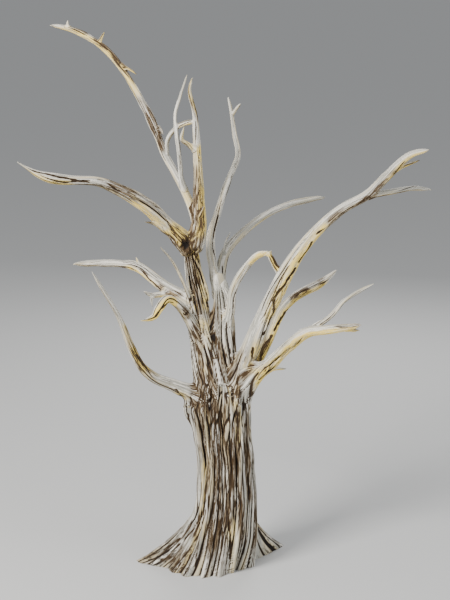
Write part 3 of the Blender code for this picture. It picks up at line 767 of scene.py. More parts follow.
# The limbs' tinted stretches and the trunk's brown streaks.
STRETCH_RAGS = 0.14  # how far the ends stray, as a share of the limb
STRETCH_ENDS = ((0.04, 0.03), (0.03, 0.04))  # the shares over which one fades in and out
STRETCH_FACES = (0.05, 0.70)  # how squarely a point faces its side
STREAK_ENDS = ((0.15, 0.15), (0.20, 0.20))  # the metres over which one fades in and out

# The webs that a skin swells into where it meets another.
WEB_SHARE = 0.50  # its width, as a share of the thinner one's radius
WEB_LEAST = 0.006
WEB_MOST = 0.10
SINEW_WEB_MOST = 0.02
WEB_OUTSIDE = 4.0  # the farthest that it reaches outside the other, in webs
WEB_INSIDE = 5.0  # and inside
WEB_RISE_MOST = 3.2
WEB_STEPS = 8  # in which its height is sought
WEB_STRIDE = 0.8
WEB_POWERS = (-30, 12)

# A limb's foot, under the skin of what carries it.
DIPPED = (-1.8, -0.3)  # how many webs outside the other the skin dips most and not at all
DIP = 1.1  # how far it dips, in webs
FOOT_SHOWN = (0.20, 0.60)  # the shares of the way inside at which its web and relief begin and are full

# How near to what carries it a limb takes over its seams and tints, fully and not at all.
ON_HOST = (0.08, 1.0)  # on another limb, in radii of the foot
LEADER_FOOTED = (0.03, 0.26)  # on the trunk, in metres
LIMB_FOOTED = (0.03, 0.20)

# The margins of the boxes in which the points near a course are looked for.
SINEW_MARGIN = 0.1
STAIN_MARGIN = 0.2
CARRIER_MARGIN = 0.3


class DeadTreeShape(bpy.types.PropertyGroup):
    """Sizes of the wood's relief."""

    rib_width: bpy.props.FloatProperty(
        name="Rib width",
        description="Width of a rib round the trunk, from one deep seam to the next",
        default=0.068,
        min=0.02,
        max=0.5,
        unit="LENGTH",
    )
    rib_depth: bpy.props.FloatProperty(
        name="Rib depth",
        description="Depth of the deep seams between the trunk's ribs",
        default=0.030,
        min=0.0,
        max=0.1,
        unit="LENGTH",
    )
    thread_width: bpy.props.FloatProperty(
        name="Thread width",
        description="Width of the thin ribs that lie over the others",
        default=0.030,
        min=0.01,
        max=0.2,
        unit="LENGTH",
    )
    limb_depth: bpy.props.FloatProperty(
        name="Limb rib depth",
        description="Depth of a limb's fissures as a share of its radius",
        default=0.24,
        min=0.0,
        max=0.6,
        subtype="FACTOR",
    )
    lumpiness: bpy.props.FloatProperty(
        name="Lumpiness",
        description="How uneven a limb's girth is, as a share of its radius",
        default=0.15,
        min=0.0,
        max=0.5,
        subtype="FACTOR",
    )


COLOUR = {"size": 3, "min": 0.0, "max": 1.0, "subtype": "COLOR"}


class DeadTreeColours(bpy.types.PropertyGroup):
    """Colours of the bare wood."""

    bleached: bpy.props.FloatVectorProperty(
        name="Bleached",
        description="The palest wood, on the crests of the ribs",
        default=(0.87, 0.83, 0.74),
        **COLOUR,
    )
    silver: bpy.props.FloatVectorProperty(
        name="Silver",
        description="Grey weathered wood",
        default=(0.46, 0.45, 0.39),
        **COLOUR,
    )
    cream: bpy.props.FloatVectorProperty(
        name="Cream",
        description="Sound wood under the weathered skin",
        default=(0.68, 0.56, 0.33),
        **COLOUR,
    )
    # Amber is the wood's tint and is also painted on the under sides as painted shade.
    amber: bpy.props.FloatVectorProperty(
        name="Amber",
        description="Sheltered undersides and hollows",
        default=(1.0, 0.74, 0.18),
        **COLOUR,
    )
    # Brown wash is also painted on the under sides and at the splits as painted shade.
    brown_wash: bpy.props.FloatVectorProperty(
        name="Brown wash",
        description="Brown weathered wood in the rotten zones",
        default=(0.23, 0.16, 0.085),
        **COLOUR,
    )
    # Bark brown also paints the shade in the cavities, creases, hollows, splits and under sides.
    bark_brown: bpy.props.FloatVectorProperty(
        name="Bark brown",
        description="Old bark and rot beside the fissures",
        default=(0.062, 0.036, 0.015),
        **COLOUR,
    )
    # Fissure black also paints the deepest shade in the cavities, creases, hollows and splits.
    fissure_black: bpy.props.FloatVectorProperty(
        name="Fissure black",
        description="The bottom of the fissures",
        default=(0.012, 0.008, 0.006),
        **COLOUR,
    )


class Noise:
    """Smooth seeded noise from 0 to 1, read at many points at once."""

    LATTICE = 32

    def __init__(self, seed):
        self.values = np.random.default_rng(seed).random((self.LATTICE,) * 3)

    def __call__(self, points):
        cell = np.floor(points).astype(int)
        part = points - cell
        part = part * part * (3 - 2 * part)
        total = np.zeros(len(points))
        for corner in itertools.product((0, 1), repeat=3):
            x, y, z = ((cell + corner) % self.LATTICE).T
            total += self.values[x, y, z] * np.where(corner, part, 1 - part).prod(axis=1)
        return total


def eased(values, low, high):
    """0 below low, 1 above high, and smooth in between."""
    share = np.clip((values - low) / (high - low), 0, 1)
    return share * share * (3 - 2 * share)


def window(values, low, high, rise, fall):
    """1 from low to high and 0 outside, eased over the two steps of rise and of fall at its ends."""
    return eased(values, low - rise[0], low + rise[1]) * (1 - eased(values, high - fall[0], high + fall[1]))


def bell(values):
    """1 at 0, falling smoothly to 0 on both sides."""
    return np.exp(-(values**2))


def blended(own, other, share):
    """A limb's own values, given over to the other ones by this share."""
    return own * (1 - share) + other * share


def in_box(points, box):
    """Which points lie in a box of a lowest and a highest corner."""
    low, high = box
    return np.all((points > low) & (points < high), axis=1)


class Course:
    """A limb's rounded centre line at even steps, with its direction, two sides and radius."""

    def __init__(self, bends, radii, fall=1.0, knots=(), seed=None):
        bends = np.array(bends)
        points = np.vstack((2 * bends[0] - bends[1], bends, 2 * bends[-1] - bends[-2]))
        place = np.linspace(0, len(bends) - 1.000001, STEPS_PER_BEND * len(bends))
        first = place.astype(int)
        t = (place - first)[:, None]
        before, start, end, after = (points[first + step] for step in range(4))
        square = 2 * before - 5 * start + 4 * end - after
        cube = 3 * start - before - 3 * end + after
        fine = (2 * start + (end - before) * t + square * t**2 + cube * t**3) / 2
        walked = np.append(0, np.cumsum(np.linalg.norm(np.diff(fine, axis=0), axis=1)))
        self.length = walked[-1]
        self.reach = np.linspace(0, self.length, max(LEAST_STEPS, round(self.length / COURSE_STEP)))
        self.centre = np.stack([np.interp(self.reach, walked, fine[:, axis]) for axis in range(3)], 1)
        along = np.gradient(self.centre, axis=0)
        self.along = along / np.linalg.norm(along, axis=1)[:, None]
        side = np.cross((0, 0, 1), self.along[0])
        sides = []
        for direction in self.along:
            side = side - direction * side.dot(direction)
            side = side / np.linalg.norm(side)
            sides.append(side)
        self.side = np.array(sides)
        self.across = np.cross(self.along, self.side)
        share = self.reach / self.length
        self.radius = radii[1] + (radii[0] - radii[1]) * (1 - share) ** fall
        for at, rise, half in knots:
            self.radius += rise * bell((share - at) / half)
        self.mean_radius = float(self.radius.mean())
        if seed is not None:
            self.stray(seed, share)

    def stray(self, seed, share):
        """Lets the centre line wander to both sides between the limb's ends."""
        spots = np.outer(self.reach / self.mean_radius, (0, 0, SWAY_PACE))
        most = SWAY_MOST * self.mean_radius * np.sin(math.pi * share)
        for step, way in enumerate((self.side, self.across), LIMB_SEEDS["sway"]):
            self.centre = self.centre + way * (most * (Noise(seed + step)(spots) - 0.5))[:, None]

    def read(self, values, reach):
        """These values, one for each step, at other distances along the limb."""
        if values.ndim == 1:
            return np.interp(reach, self.reach, values)
        return np.stack([np.interp(reach, self.reach, values[:, axis]) for axis in range(3)], 1)

    def nearest(self, points):
        """The step of the centre line nearest to each point, and the way from there to the point."""
        apart = (points**2).sum(1)[:, None] - 2 * points @ self.centre.T + (self.centre**2).sum(1)
        nearest = apart.argmin(1)
        return nearest, points - self.centre[nearest]

    def place_of(self, points):
        """How far round the limb, from 0 to 1, and how far along it each point lies."""
        nearest, offset = self.nearest(points)
        turn = np.arctan2((offset * self.across[nearest]).sum(1), (offset * self.side[nearest]).sum(1))
        ahead = (offset * self.along[nearest]).sum(1)
        return turn / (2 * math.pi) % 1, np.clip(self.reach[nearest] + ahead, 0, self.length)

    def distance(self, points):
        """How far outside the limb's skin each point lies, and the limb's radius there."""
        nearest, offset = self.nearest(points)
        ahead = (offset * self.along[nearest]).sum(1)
        inside = (nearest > 0) & (nearest < len(self.reach) - 1)
        sideways = np.sqrt(np.maximum((offset**2).sum(1) - np.where(inside, ahead**2, 0), 0))
        radius = self.read(self.radius, self.reach[nearest] + ahead)
        return sideways - radius, radius

    def box(self, margin):
        """The lowest and highest corner of a box round the limb."""
        reach = self.radius.max() + margin
        return self.centre.min(0) - reach, self.centre.max(0) + reach


def away_from(bearing, middle):
    """How far the bearing is from this middle, in degrees either way round."""
    return (bearing - middle + 180) % 360 - 180


def rib_bearings(height):
    """The bearing of every broad rib at these heights, in degrees: one row for each height."""
    foot, waist, top = np.array(TRUNK_RIBS).T[:3]
    share = (height / FORK_HEIGHT)[:, None]
    bend = 4 * waist - 3 * foot - top
    return foot + bend * share + (top - foot - bend) * share**2


def trunk_radius(turn, height):
    """The trunk's sideways lean, and its radius at this bearing with its ribs, toes and collar."""
    heights, leans, radii = np.array(TRUNK_STATIONS).T
    base = np.clip(np.searchsorted(heights, height) - 1, 0, len(heights) - 2)
    share = eased(height, heights[base], heights[base + 1])
    radius = radii[base] + (radii[base + 1] - radii[base]) * share - RIB_HOLLOW
    lean = leans[base] + (leans[base + 1] - leans[base]) * share
    bearing = np.degrees(turn)
    half_width, rise = np.array(TRUNK_RIBS).T[3:]
    radius = radius + (rise * bell(away_from(bearing[:, None], rib_bearings(height)) / half_width)).sum(1)
    for toe_bearing, reach, half_width, run_out in ROOT_TOES:
        hollow = np.clip(1 - height / run_out, 0, 1) ** TOE_HOLLOW
        radius = radius + reach * hollow * bell(away_from(bearing, toe_bearing) / half_width)
    collar_bearing, collar_height, bulge, half_width, half_height = COLLAR
    collar = bell((height - collar_height) / half_height)
    return lean, radius + bulge * collar * bell(away_from(bearing, collar_bearing) / half_width)


def trunk_lean(height):
    """The trunk's sideways lean at these heights."""
    return trunk_radius(np.zeros(len(height)), height)[0]


def trunk_flow(turn, height):
    """How far round the trunk each point lies, from 0 to 1, in even steps from broad rib to broad rib."""
    bearings = rib_bearings(height)
    first = bearings[:, :1]
    starts = (bearings - first) % 360
    ends = np.hstack((starts[:, 1:], np.full((len(turn), 1), 360.0)))
    here = (np.degrees(turn)[:, None] - first) % 360
    return np.clip((here - starts) / (ends - starts), 0, 1).sum(1) / len(TRUNK_RIBS)


def trunk_distance(points):
    """How far outside the trunk's skin each point lies, and the trunk's radius there."""
    height = np.clip(points[:, 2], 0, FORK_HEIGHT)
    from_middle = points[:, 0] - trunk_lean(height)
    radius = trunk_radius(np.arctan2(points[:, 1], from_middle), height)[1]
    out = np.hypot(from_middle, points[:, 1])
    above = np.clip((points[:, 2] - FORK_HEIGHT) / DOME_RISE, 0, None)
    shrunk = radius * np.sqrt(np.clip(1 - above**2, 0, 1))
    over = np.clip(points[:, 2] - FORK_HEIGHT - DOME_RISE, 0, None)
    return np.hypot(np.maximum(out - shrunk, 0), over) + np.minimum(out - shrunk, 0), radius


def limb_seed(name, index):
    """The seed of a limb, or of its spur with this number."""
    return 100 + 17 * list(LIMBS).index(name) + 5 * index


def limb_courses(name, limb):
    """The limb's own course, then one for each of its spurs."""
    made = [Course(limb["bends"], limb["radii"], limb["fall"], limb.get("knots", ()), limb_seed(name, 0))]
    for index, spur in enumerate(limb.get("spurs", ()), 1):
        made.append(Course(spur, limb["spur_radii"], seed=limb_seed(name, index)))
    return made


COURSES = {name: limb_courses(name, limb) for name, limb in LIMBS.items()}


def on_skin(places, front):
    """Places across and up, laid on the tree's smooth skin as it is met from the front or the back."""
    depths = np.linspace(-SKIN_REACH, SKIN_REACH, SKIN_STEPS)
    if not front:
        depths = depths[::-1]
    laid = []
    for across, height in places:
        points = np.stack(np.broadcast_arrays(across, depths, height), 1)
        gap = trunk_distance(points)[0]
        for limb in COURSES.values():
            gap = np.minimum(gap, limb[0].distance(points)[0])
        met = np.flatnonzero(gap < 0)
        laid.append((across, depths[met[0] if len(met) else gap.argmin()], height))
    return laid


def sinew_course(radii, places, front):
    """A sinew that lies half sunk in the skin, thin at both ends."""
    sinew = Course(on_skin(places, front), radii)
    share = sinew.reach / sinew.length
    full = eased(share, 0, SINEW_ENDS[0]) * (1 - eased(share, SINEW_ENDS[1], 1))
    sinew.radius *= SINEW_THIN + (1 - SINEW_THIN) * full
    return sinew


SINEWS = [sinew_course(radii, places, True) for radii, places in FRONT_SINEWS]
SINEWS += [sinew_course(radii, places, False) for radii, places in BACK_SINEWS]
ROT = [Course(on_skin(places, True), (half_width, half_width)) for half_width, places in STAINS]


def read_field(data, field, width):
    """One field of a mesh's data, as an array with this many numbers in each row."""
    values = np.empty(len(data) * width, np.float32)
    data.foreach_get(field, values)
    return values.reshape(-1, width).astype(float)


def read_points(mesh):
    """The place of every corner."""
    return read_field(mesh.vertices, "co", 3)


def read_normals(mesh):
    """The outward direction at every corner."""
    return read_field(mesh.vertex_normals, "vector", 3)


def read_mark(mesh, name):
    """The number stored for each corner under this name."""
    return read_field(mesh.attributes[name].data, "value", 1)[:, 0]


def write_points(mesh, points):
    """Moves the corners to these places."""
    mesh.vertices.foreach_set("co", points.astype(np.float32).ravel())
    mesh.update()


def moved_skin(mesh, points):
    """Moves the mesh to these points and gives their new normals."""
    write_points(mesh, points)
    return points, read_normals(mesh)


def write_mark(mesh, name, values):
    """Stores one number or one vector for each corner."""
    kind, field = ("FLOAT", "value") if values.ndim == 1 else ("FLOAT_VECTOR", "vector")
    mark = mesh.attributes.get(name) or mesh.attributes.new(name, kind, "POINT")
    mark.data.foreach_set(field, values.astype(np.float32).ravel())


def rolled_sheet(name, sides, rings, place):
    """A grid whose columns are rolled round a limb by place(around, share), sewn up and closed."""
    bm = bmesh.new()
    bm.loops.layers.uv.new("UVMap")
    bmesh.ops.create_grid(bm, x_segments=sides, y_segments=rings, size=0.5, calc_uvs=True)
    mesh = bpy.data.meshes.new(name)
    bm.to_mesh(mesh)
    bm.free()
    flat = read_points(mesh)
    around, share = flat[:, 0] + 0.5, flat[:, 1] + 0.5
    write_mark(mesh, "around", around % 1)
    write_mark(mesh, "share", share)
    write_points(mesh, place(around, share))
    bm = bmesh.new()
    bm.from_mesh(mesh)
    bmesh.ops.remove_doubles(bm, verts=bm.verts[:], dist=0.00002)
    bmesh.ops.holes_fill(bm, edges=bm.edges[:], sides=0)
    bmesh.ops.recalc_face_normals(bm, faces=bm.faces[:])
    bm.to_mesh(mesh)
    bm.free()
    mesh.shade_smooth()
    return mesh


def met_by(courses, points, margin):
    """For each course near any points: which points those are, their distances and its radii there."""
    for course in courses:
        inside = np.flatnonzero(in_box(points, course.box(margin)))
        if len(inside):
            yield inside, *course.distance(points[inside])


def swollen(points, normals, own_radius, neighbours, most, shown, dip=0.0):
    """The points moved outwards wherever the skin nears a neighbour, so that the two run together.

    A neighbour is a box and the function that gives distances from its skin. Each point makes its shown
    share of the move, and one that starts inside the neighbour stops short of the full move by up to dip
    webs, so that the skin runs in under the neighbour's."""
    near = np.zeros(len(points), bool)
    web = np.full(len(points), WEB_LEAST)
    outside = np.zeros(len(points))
    met = []
    for box, distance in neighbours:
        boxed = np.flatnonzero(in_box(points, box))
        if not len(boxed):
            continue
        gap, radius = distance(points[boxed])
        wanted = np.clip(WEB_SHARE * np.minimum(radius, own_radius[boxed]), WEB_LEAST, most)
        outside[boxed] = np.minimum(outside[boxed], gap / wanted)
        close = (gap < WEB_OUTSIDE * wanted) & (gap > -WEB_INSIDE * wanted)
        places = boxed[close]
        if len(places):
            web[places] = np.maximum(web[places], wanted[close])
            near[places] = True
            met.append((box, distance))
    if not met:
        return points
    start, direction, width = points[near], normals[near], web[near]
    rise = np.zeros(len(start))
    for _ in range(WEB_STEPS):
        here = start + direction * rise[:, None]
        total = np.exp(-rise / width)
        for box, distance in met:
            boxed = in_box(here, box)
            if boxed.any():
                gap = distance(here[boxed])[0]
                total[boxed] += np.exp(np.clip(-gap / width[boxed], *WEB_POWERS))
        rise = np.clip(rise + WEB_STRIDE * width * np.log(total), 0, WEB_RISE_MOST * width)
    rise = rise - dip * width * (1 - eased(outside[near], *DIPPED))
    moved = points.copy()
    moved[near] = start + direction * (rise * shown[near])[:, None]
    return moved


def sinew_neighbours():
    """The sinews, as neighbours that a skin swells over."""
    return [(sinew.box(SINEW_MARGIN), sinew.distance) for sinew in SINEWS]


def sunk_hollows(points, normals):
    """The points moved into the hollows and out over their lips, and how dark each hollow makes them, as
    painted shade in its pit.
    """
    dark = np.zeros(len(points))
    lip = np.zeros(len(points))
    push = np.zeros(len(points))
    ragged = Noise(TRUNK_SEEDS["hollows"])(points * HOLLOW_CELLS) - 0.5
    for place, radius, depth, tallness in HOLLOWS:
        away = np.linalg.norm((points - place) / (1, 1, tallness), axis=1) / radius
        away = away * (1 + HOLLOW_RAGS * ragged)
        pit = np.exp(-(away**3))
        rim = bell((away - LIP_AT) / LIP_WIDTH)
        push += depth * (LIP_RISE * rim - pit)
        dark = np.maximum(dark, pit)
        lip = np.maximum(lip, rim)
    return points + normals * push[:, None], dark, lip


def rot_marks(points):
    """How brown the rotten zones make each point."""
    brown = np.zeros(len(points))
    for inside, gap, radius in met_by(ROT, points, STAIN_MARGIN):
        brown[inside] = np.maximum(brown[inside], bell(1 + gap / radius))
    return brown


def split_marks(name, course, points, reach, share, seed):
    """How deep each point lies in one of the limb's long splits, from 0 to 1, and how far to cut."""
    seed = seed + LIMB_SEEDS["splits"]
    along = course.read(course.along, reach)
    out = points - course.read(course.centre, reach)
    out = out - along * (out * along).sum(1)[:, None]
    radius = np.linalg.norm(out, axis=1)
    line_place = np.outer(reach, (1, 0, 0))
    bridged = eased(Noise(seed + 1)(SPLIT_BRIDGES * line_place), *SPLIT_BRIDGED)
    ragged = SPLIT_RAGS[0] + SPLIT_RAGS[1] * Noise(seed + 2)(SPLIT_TEETH * points)
    opened = np.zeros(len(points))
    cut = np.zeros(len(points))
    for number, (low, high, side, half_width) in enumerate(SPLITS.get(name, ())):
        wander = Noise(seed + LIMB_SEEDS["wander"] + number)(SPLIT_WANDER * line_place) - 0.5
        facing = np.array(side) - along * (along @ np.array(side))[:, None]
        facing = facing / np.linalg.norm(facing, axis=1)[:, None]
        lateral = (out * np.cross(along, facing)).sum(1)
        angle = np.arctan2(lateral, (out * facing).sum(1)) + SPLIT_TURN * wander
        length = window(share, low, high, *SPLIT_ENDS)
        width = half_width * (SPLIT_NARROW + (1 - SPLIT_NARROW) * length) * ragged
        line = length * bridged * bell(angle * radius / width)
        opened = np.maximum(opened, line)
        cut = np.maximum(cut, line * np.minimum(SPLIT_RADII * radius, SPLIT_WIDTHS * half_width))
    return opened, cut


def seams(around, grain, girth, count, run, seed, opening):
    """How deep in a seam each point is, 0 on a crest to 1, for this many seams round and their run.

    Each seam opens and closes along the grain, where its own noise passes the opening's two levels."""
    across = count / (SWAY_SEAMS * girth)
    sway = Noise(seed)(grain * (across, across, 1.0 / run) + SWAY_FROM) - 0.5
    phase = count * around + SEAM_SWAY * sway
    seam = np.round(phase) % count
    row = np.full(len(seam), OPENING_ROW)
    along = np.stack((seam * SEAM_APART, row, OPENING_PACE * grain[:, 2] / run), 1)
    return eased(Noise(seed + 1)(along), *opening) * (1 - np.abs(np.sin(np.pi * phase)))


def sinew_marks(points):
    """How much each point lies on a sinew's crest, and how much in the crease along its foot."""
    crest = np.zeros(len(points))
    crease = np.zeros(len(points))
    for inside, gap, radius in met_by(SINEWS, points, SINEW_MARGIN):
        crest[inside] = np.maximum(crest[inside], 1 - eased(gap / radius, *CREST_ENDS))
        line = bell((gap - CREASE_AT * radius) / np.maximum(CREASE_WIDTH * radius, CREASE_LEAST))
        crease[inside] = np.maximum(crease[inside], line)
    broken = eased(Noise(TRUNK_SEEDS["creases"])(points * CREASE_CELLS), *CREASE_BROKEN)
    return crest, crease * broken * (1 - crest)


# finish_skin paints shade from this: the further a point lies below its neighbours, the darker it is
# painted.
def cavity(mesh, points):
    """How far each point lies below its neighbours, against the distance to them."""
    edges = np.empty(len(mesh.edges) * 2, np.int32)
    mesh.edges.foreach_get("vertices", edges)
    one, other = edges.reshape(-1, 2).T
    size = len(points)
    count = np.maximum(np.bincount(one, minlength=size) + np.bincount(other, minlength=size), 1)

    def around(values):
        return (np.bincount(one, values[other], size) + np.bincount(other, values[one], size)) / count

    mean = np.stack([around(points[:, axis]) for axis in range(3)], 1)
    length = np.linalg.norm(points[one] - points[other], axis=1)
    span = (np.bincount(one, length, size) + np.bincount(other, length, size)) / count
    below = ((mean - points) * read_normals(mesh)).sum(1) / np.maximum(span, 0.001)
    for _ in range(CAVITY_ROUNDS):
        below = 0.5 * below + 0.5 * around(below)
    return below


def stretches(table, name, share, normals):
    """How strongly a limb's listed stretches show at each point."""
    total = np.zeros(len(share))
    for low, high, side, strength in table.get(name, ()):
        faces = normals @ (np.array(side) / np.linalg.norm(side))
        length = window(share, low, high, *STRETCH_ENDS)
        total = np.maximum(total, strength * length * eased(faces, *STRETCH_FACES))
    return total


def carving(depth, deep, fine, flakes, crest, crease):
    """How far the seams, flakes and creases move the skin: outwards on the ribs and inwards between."""
    cut = deep + FINE_CUT * fine + FLAKE_CUT * flakes
    return (1 - CREST_CALM * crest) * depth * (RIB_PROUD - cut) - CREASE_CUT * depth * crease


def darkened(deep_dark, fine_dark, flakes, crest, dark, crease):
    """How dark the seams and the flakes make each point, with painted shade in the hollows and the creases.
    """
    flake_dark = FLAKE_DARK * eased(flakes, *FLAKE_DARKENS)
    seamed = (1 - CREST_CALM * crest) * np.maximum.reduce((deep_dark, fine_dark, flake_dark))
    return np.maximum.reduce((seamed, dark, CREASE_SHADE * crease))


def finish_skin(mesh, points, grain, fissure_and_shade, warm, brown, crest):
    """Writes the carved points and the marks that the wood's colours are read from, with painted shade
    added in the cavities and on the under sides.
    """
    write_points(mesh, points)
    # Painted shade: darkness in the cavities, and amber and brown on the under sides.
    cavity_shade = eased(cavity(mesh, points), *CAVITY_SHADE_LEVELS)
    under = eased(-read_normals(mesh)[:, 2], *UNDER_SIDES)
    brown = brown * (1 - CREST_BARE * crest) + UNDER_SHADE_BROWN * under * (1 - np.clip(1.5 * warm, 0, 1))
    write_mark(mesh, "grain", grain)
    write_mark(mesh, "fissure_and_shade", np.clip(np.maximum(fissure_and_shade, CAVITY_PAINTED_SHADE * cavity_shade), 0, 1))
    write_mark(mesh, "warm", np.clip(warm + UNDER_SHADE_WARM * under, 0, MARK_MOST))
    write_mark(mesh, "brown", np.clip(brown, 0, MARK_MOST))


def trunk_place(around, share):
    """The trunk's smooth skin: up the sides with even columns, then in over the dome."""
    height = FORK_HEIGHT * np.clip(share / (1 - DOME_SHARE), 0, 1) ** TRUNK_CROWDING
    over = np.clip((share - 1 + DOME_SHARE) / DOME_SHARE, 0, 1) * math.pi / 2
    points = np.empty((len(around), 3))
    bearings = np.linspace(0, 2 * math.pi, OUTLINE_STEPS)
    for level in np.unique(share):
        ring = np.flatnonzero(share == level)
        ring_height, ring_over = height[ring[0]], over[ring[0]]
        lean, radius = trunk_radius(bearings, np.full(OUTLINE_STEPS, ring_height))
        outline = np.stack((radius * np.cos(bearings), radius * np.sin(bearings)), 1)
        walked = np.append(0, np.cumsum(np.linalg.norm(np.diff(outline, axis=0), axis=1)))
        turn = np.interp(around[ring] * walked[-1], walked, bearings)
        shrunk = np.interp(turn, bearings, radius) * math.cos(ring_over)
        points[ring, 0] = lean[0] + shrunk * np.cos(turn)
        points[ring, 1] = shrunk * np.sin(turn)
        points[ring, 2] = ring_height + DOME_RISE * math.sin(ring_over)
    return points


def trunk_pattern(points, shape):
    """The trunk's grain, and how deep each point lies in its deep seams, fine seams and flakes."""
    height = np.clip(points[:, 2], 0, FORK_HEIGHT)
    around = trunk_flow(np.arctan2(points[:, 1], points[:, 0] - trunk_lean(height)), height)
    turn = 2 * math.pi * around
    out = np.hypot(points[:, 0], points[:, 1])
    walked = points[:, 2] - TOE_SPREAD * np.clip(out - TOE_SPREADS_FROM, 0, None)
    grain = np.stack((TRUNK_GRAIN_RADIUS * np.cos(turn), TRUNK_GRAIN_RADIUS * np.sin(turn), walked), 1)
    girth = 2 * math.pi * TRUNK_GRAIN_RADIUS
    deep = seams(around, grain, girth, round(girth / shape.rib_width), *TRUNK_DEEP)
    run, seed, opening = TRUNK_FINE
    wider = TOE_OPENING * eased(out, *TOE_LINES)
    opening = [level - wider for level in opening]
    fine = seams(around, grain, girth, round(girth / shape.thread_width), run, seed, opening)
    flakes = seams(around, grain, girth, round(girth / FLAKE_WIDTH), *TRUNK_FLAKES)
    return grain, deep, fine, flakes


def trunk_swell(grain):
    """The trunk's broad, low unevenness."""
    return TRUNK_SWELL * (Noise(TRUNK_SEEDS["swell"])(grain * (5, 5, 1.6)) - 0.5)


def trunk_brown(points, grain):
    """How brown the rotten zones and streaks make each point of the trunk."""
    bearing = np.degrees(np.arctan2(points[:, 1], points[:, 0]))
    patchy = eased(Noise(TRUNK_SEEDS["patches"])(grain * (16, 16, 2.4)), 0.25, 0.60)
    brown = rot_marks(points)
    for middle, low, high, half_width in TRUNK_STREAKS:
        length = window(grain[:, 2], low, high, *STREAK_ENDS)
        brown = np.maximum(brown, length * bell(away_from(bearing, middle) / half_width))
    washed = eased(Noise(TRUNK_SEEDS["brown"])(grain * (9, 9, 1.5)), 0.45, 0.75)
    return brown * (0.45 + 0.75 * patchy) + 0.45 * washed


def trunk_mesh(shape):
    """The trunk's carved skin, flat at the ground."""
    mesh = rolled_sheet("trunk_wood", TRUNK_SIDES, TRUNK_RINGS, trunk_place)
    points, normals = read_points(mesh), read_normals(mesh)
    on_ground = read_mark(mesh, "share") < 0.0001
    normals[on_ground, 2] = 0
    grain, deep, fine, flakes = trunk_pattern(points, shape)
    whole = np.ones(len(points))
    own_radius = whole * TRUNK_GRAIN_RADIUS
    points = swollen(points, normals, own_radius, sinew_neighbours(), SINEW_WEB_MOST, whole)
    crest, crease = sinew_marks(points)

    brown = trunk_brown(points, grain)
    flakes = flakes * np.clip(brown, 0, 1)
    rise = trunk_swell(grain) + carving(shape.rib_depth, deep, fine, flakes, crest, crease)
    points = points + normals * rise[:, None]
    points, dark, lip = sunk_hollows(points, normals)
    points[on_ground | (points[:, 2] < 0), 2] = 0

    out = np.hypot(points[:, 0], points[:, 1])
    spread = np.clip(out / TRUNK_GRAIN_RADIUS, 1, None) ** TOE_NARROWS
    deep_dark = eased(deep, *[1 - level / spread for level in TRUNK_DEEP_DARKENS])
    fine_dark = eased(fine, *[1 - level / spread**0.5 for level in TRUNK_FINE_DARKENS])
    fissure_and_shade = darkened(deep_dark, TRUNK_FINE_DARK * fine_dark, flakes, crest, dark, crease)
    warm = 0.45 * eased(Noise(TRUNK_SEEDS["warmth"])(grain * (7, 7, 1.2)), 0.60, 0.80) + LIP_WARM * lip
    finish_skin(mesh, points, grain, fissure_and_shade, warm, brown, crest)
    write_mark(mesh, "lined", eased(out, *TOE_LINES))
    return mesh


def limb_sides(course):
    """How many faces go round a limb."""
    return int(np.clip(2 * math.pi * course.mean_radius / FACE_WIDTH, LEAST_SIDES, MOST_SIDES))


def tip_length(name, course):
    """How far back the limb is worn to a point."""
    return min(TIP_LENGTHS.get(name, TIP_LENGTH), TIP_SHARE * course.length)


def rooted_length(course):
    """How far from its foot the limb has filled out."""
    return min(ROOT_RADII * float(course.radius[0]), ROOT_MOST, ROOT_SHARE * course.length)


def host_of(name, index):
    """The limb that carries this limb or spur, or None where the trunk does."""
    if index:
        return name
    foot = COURSES[name][0].centre[:1]
    earlier = itertools.takewhile(name.__ne__, LIMBS)
    gaps = {other: COURSES[other][0].distance(foot)[0][0] for other in earlier}
    gaps[None] = trunk_distance(foot)[0][0]
    return None if gaps[None] < 0 else min(gaps, key=gaps.get)


def limb_pattern(name, index, around, reach, shape):
    """A limb's grain, and how deep each point lies in its deep and its fine seams."""
    course, seed = COURSES[name][index], limb_seed(name, index)
    girth = 2 * math.pi * course.mean_radius
    stout = name in LEADERS
    turn = 2 * math.pi * around + GRAIN_TWIST * reach
    grain = np.stack((course.mean_radius * np.cos(turn), course.mean_radius * np.sin(turn), reach), 1)
    grain[:, 2] += GRAIN_APART * seed
    slow = (around + GRAIN_TWIST / (2 * math.pi) * reach) % 1
    count = int(np.clip(girth / shape.rib_width, LEAST_SEAMS, MOST_SEAMS))
    fine_count = min(round(FINE_PER_DEEP * count), limb_sides(course) // FACES_PER_SEAM)
    run = STOUT_RUN if stout else SLIM_RUN[0] + SLIM_RUN[1] * course.mean_radius
    deep_opening, fine_opening = STOUT_OPENINGS if stout else SLIM_OPENINGS
    deep = seams(slow, grain, girth, count, run, seed, deep_opening)
    fine = seams(slow, grain, girth, fine_count, FINE_RUN * run, seed + LIMB_SEEDS["fine"], fine_opening)
    tip = tip_length(name, course) if stout else course.radius[-1]
    whole = 1 - eased(reach, *[course.length - tips * tip for tips in BARE_TIP])
    return grain, deep * whole, fine * whole


def limb_tints(name, share, grain, normals, seed):
    """How amber and how brown a limb's listed stretches make each point, and how patchy they are."""
    seed = seed + LIMB_SEEDS["tints"]
    scale = 0.3 / max(COURSES[name][0].mean_radius, 0.03)
    patchy = eased(Noise(seed)(grain * (scale, scale, 2.4)), 0.20, 0.60)
    ragged = share + STRETCH_RAGS * (Noise(seed + 1)(grain * (2.5 * scale, 2.5 * scale, 3.0)) - 0.5)
    warm = stretches(AMBER_STRETCHES, name, ragged, normals) * (0.35 + 0.65 * patchy)
    brown = stretches(BROWN_STRETCHES, name, ragged, normals) * (0.3 + 0.8 * patchy)
    return warm, brown, patchy


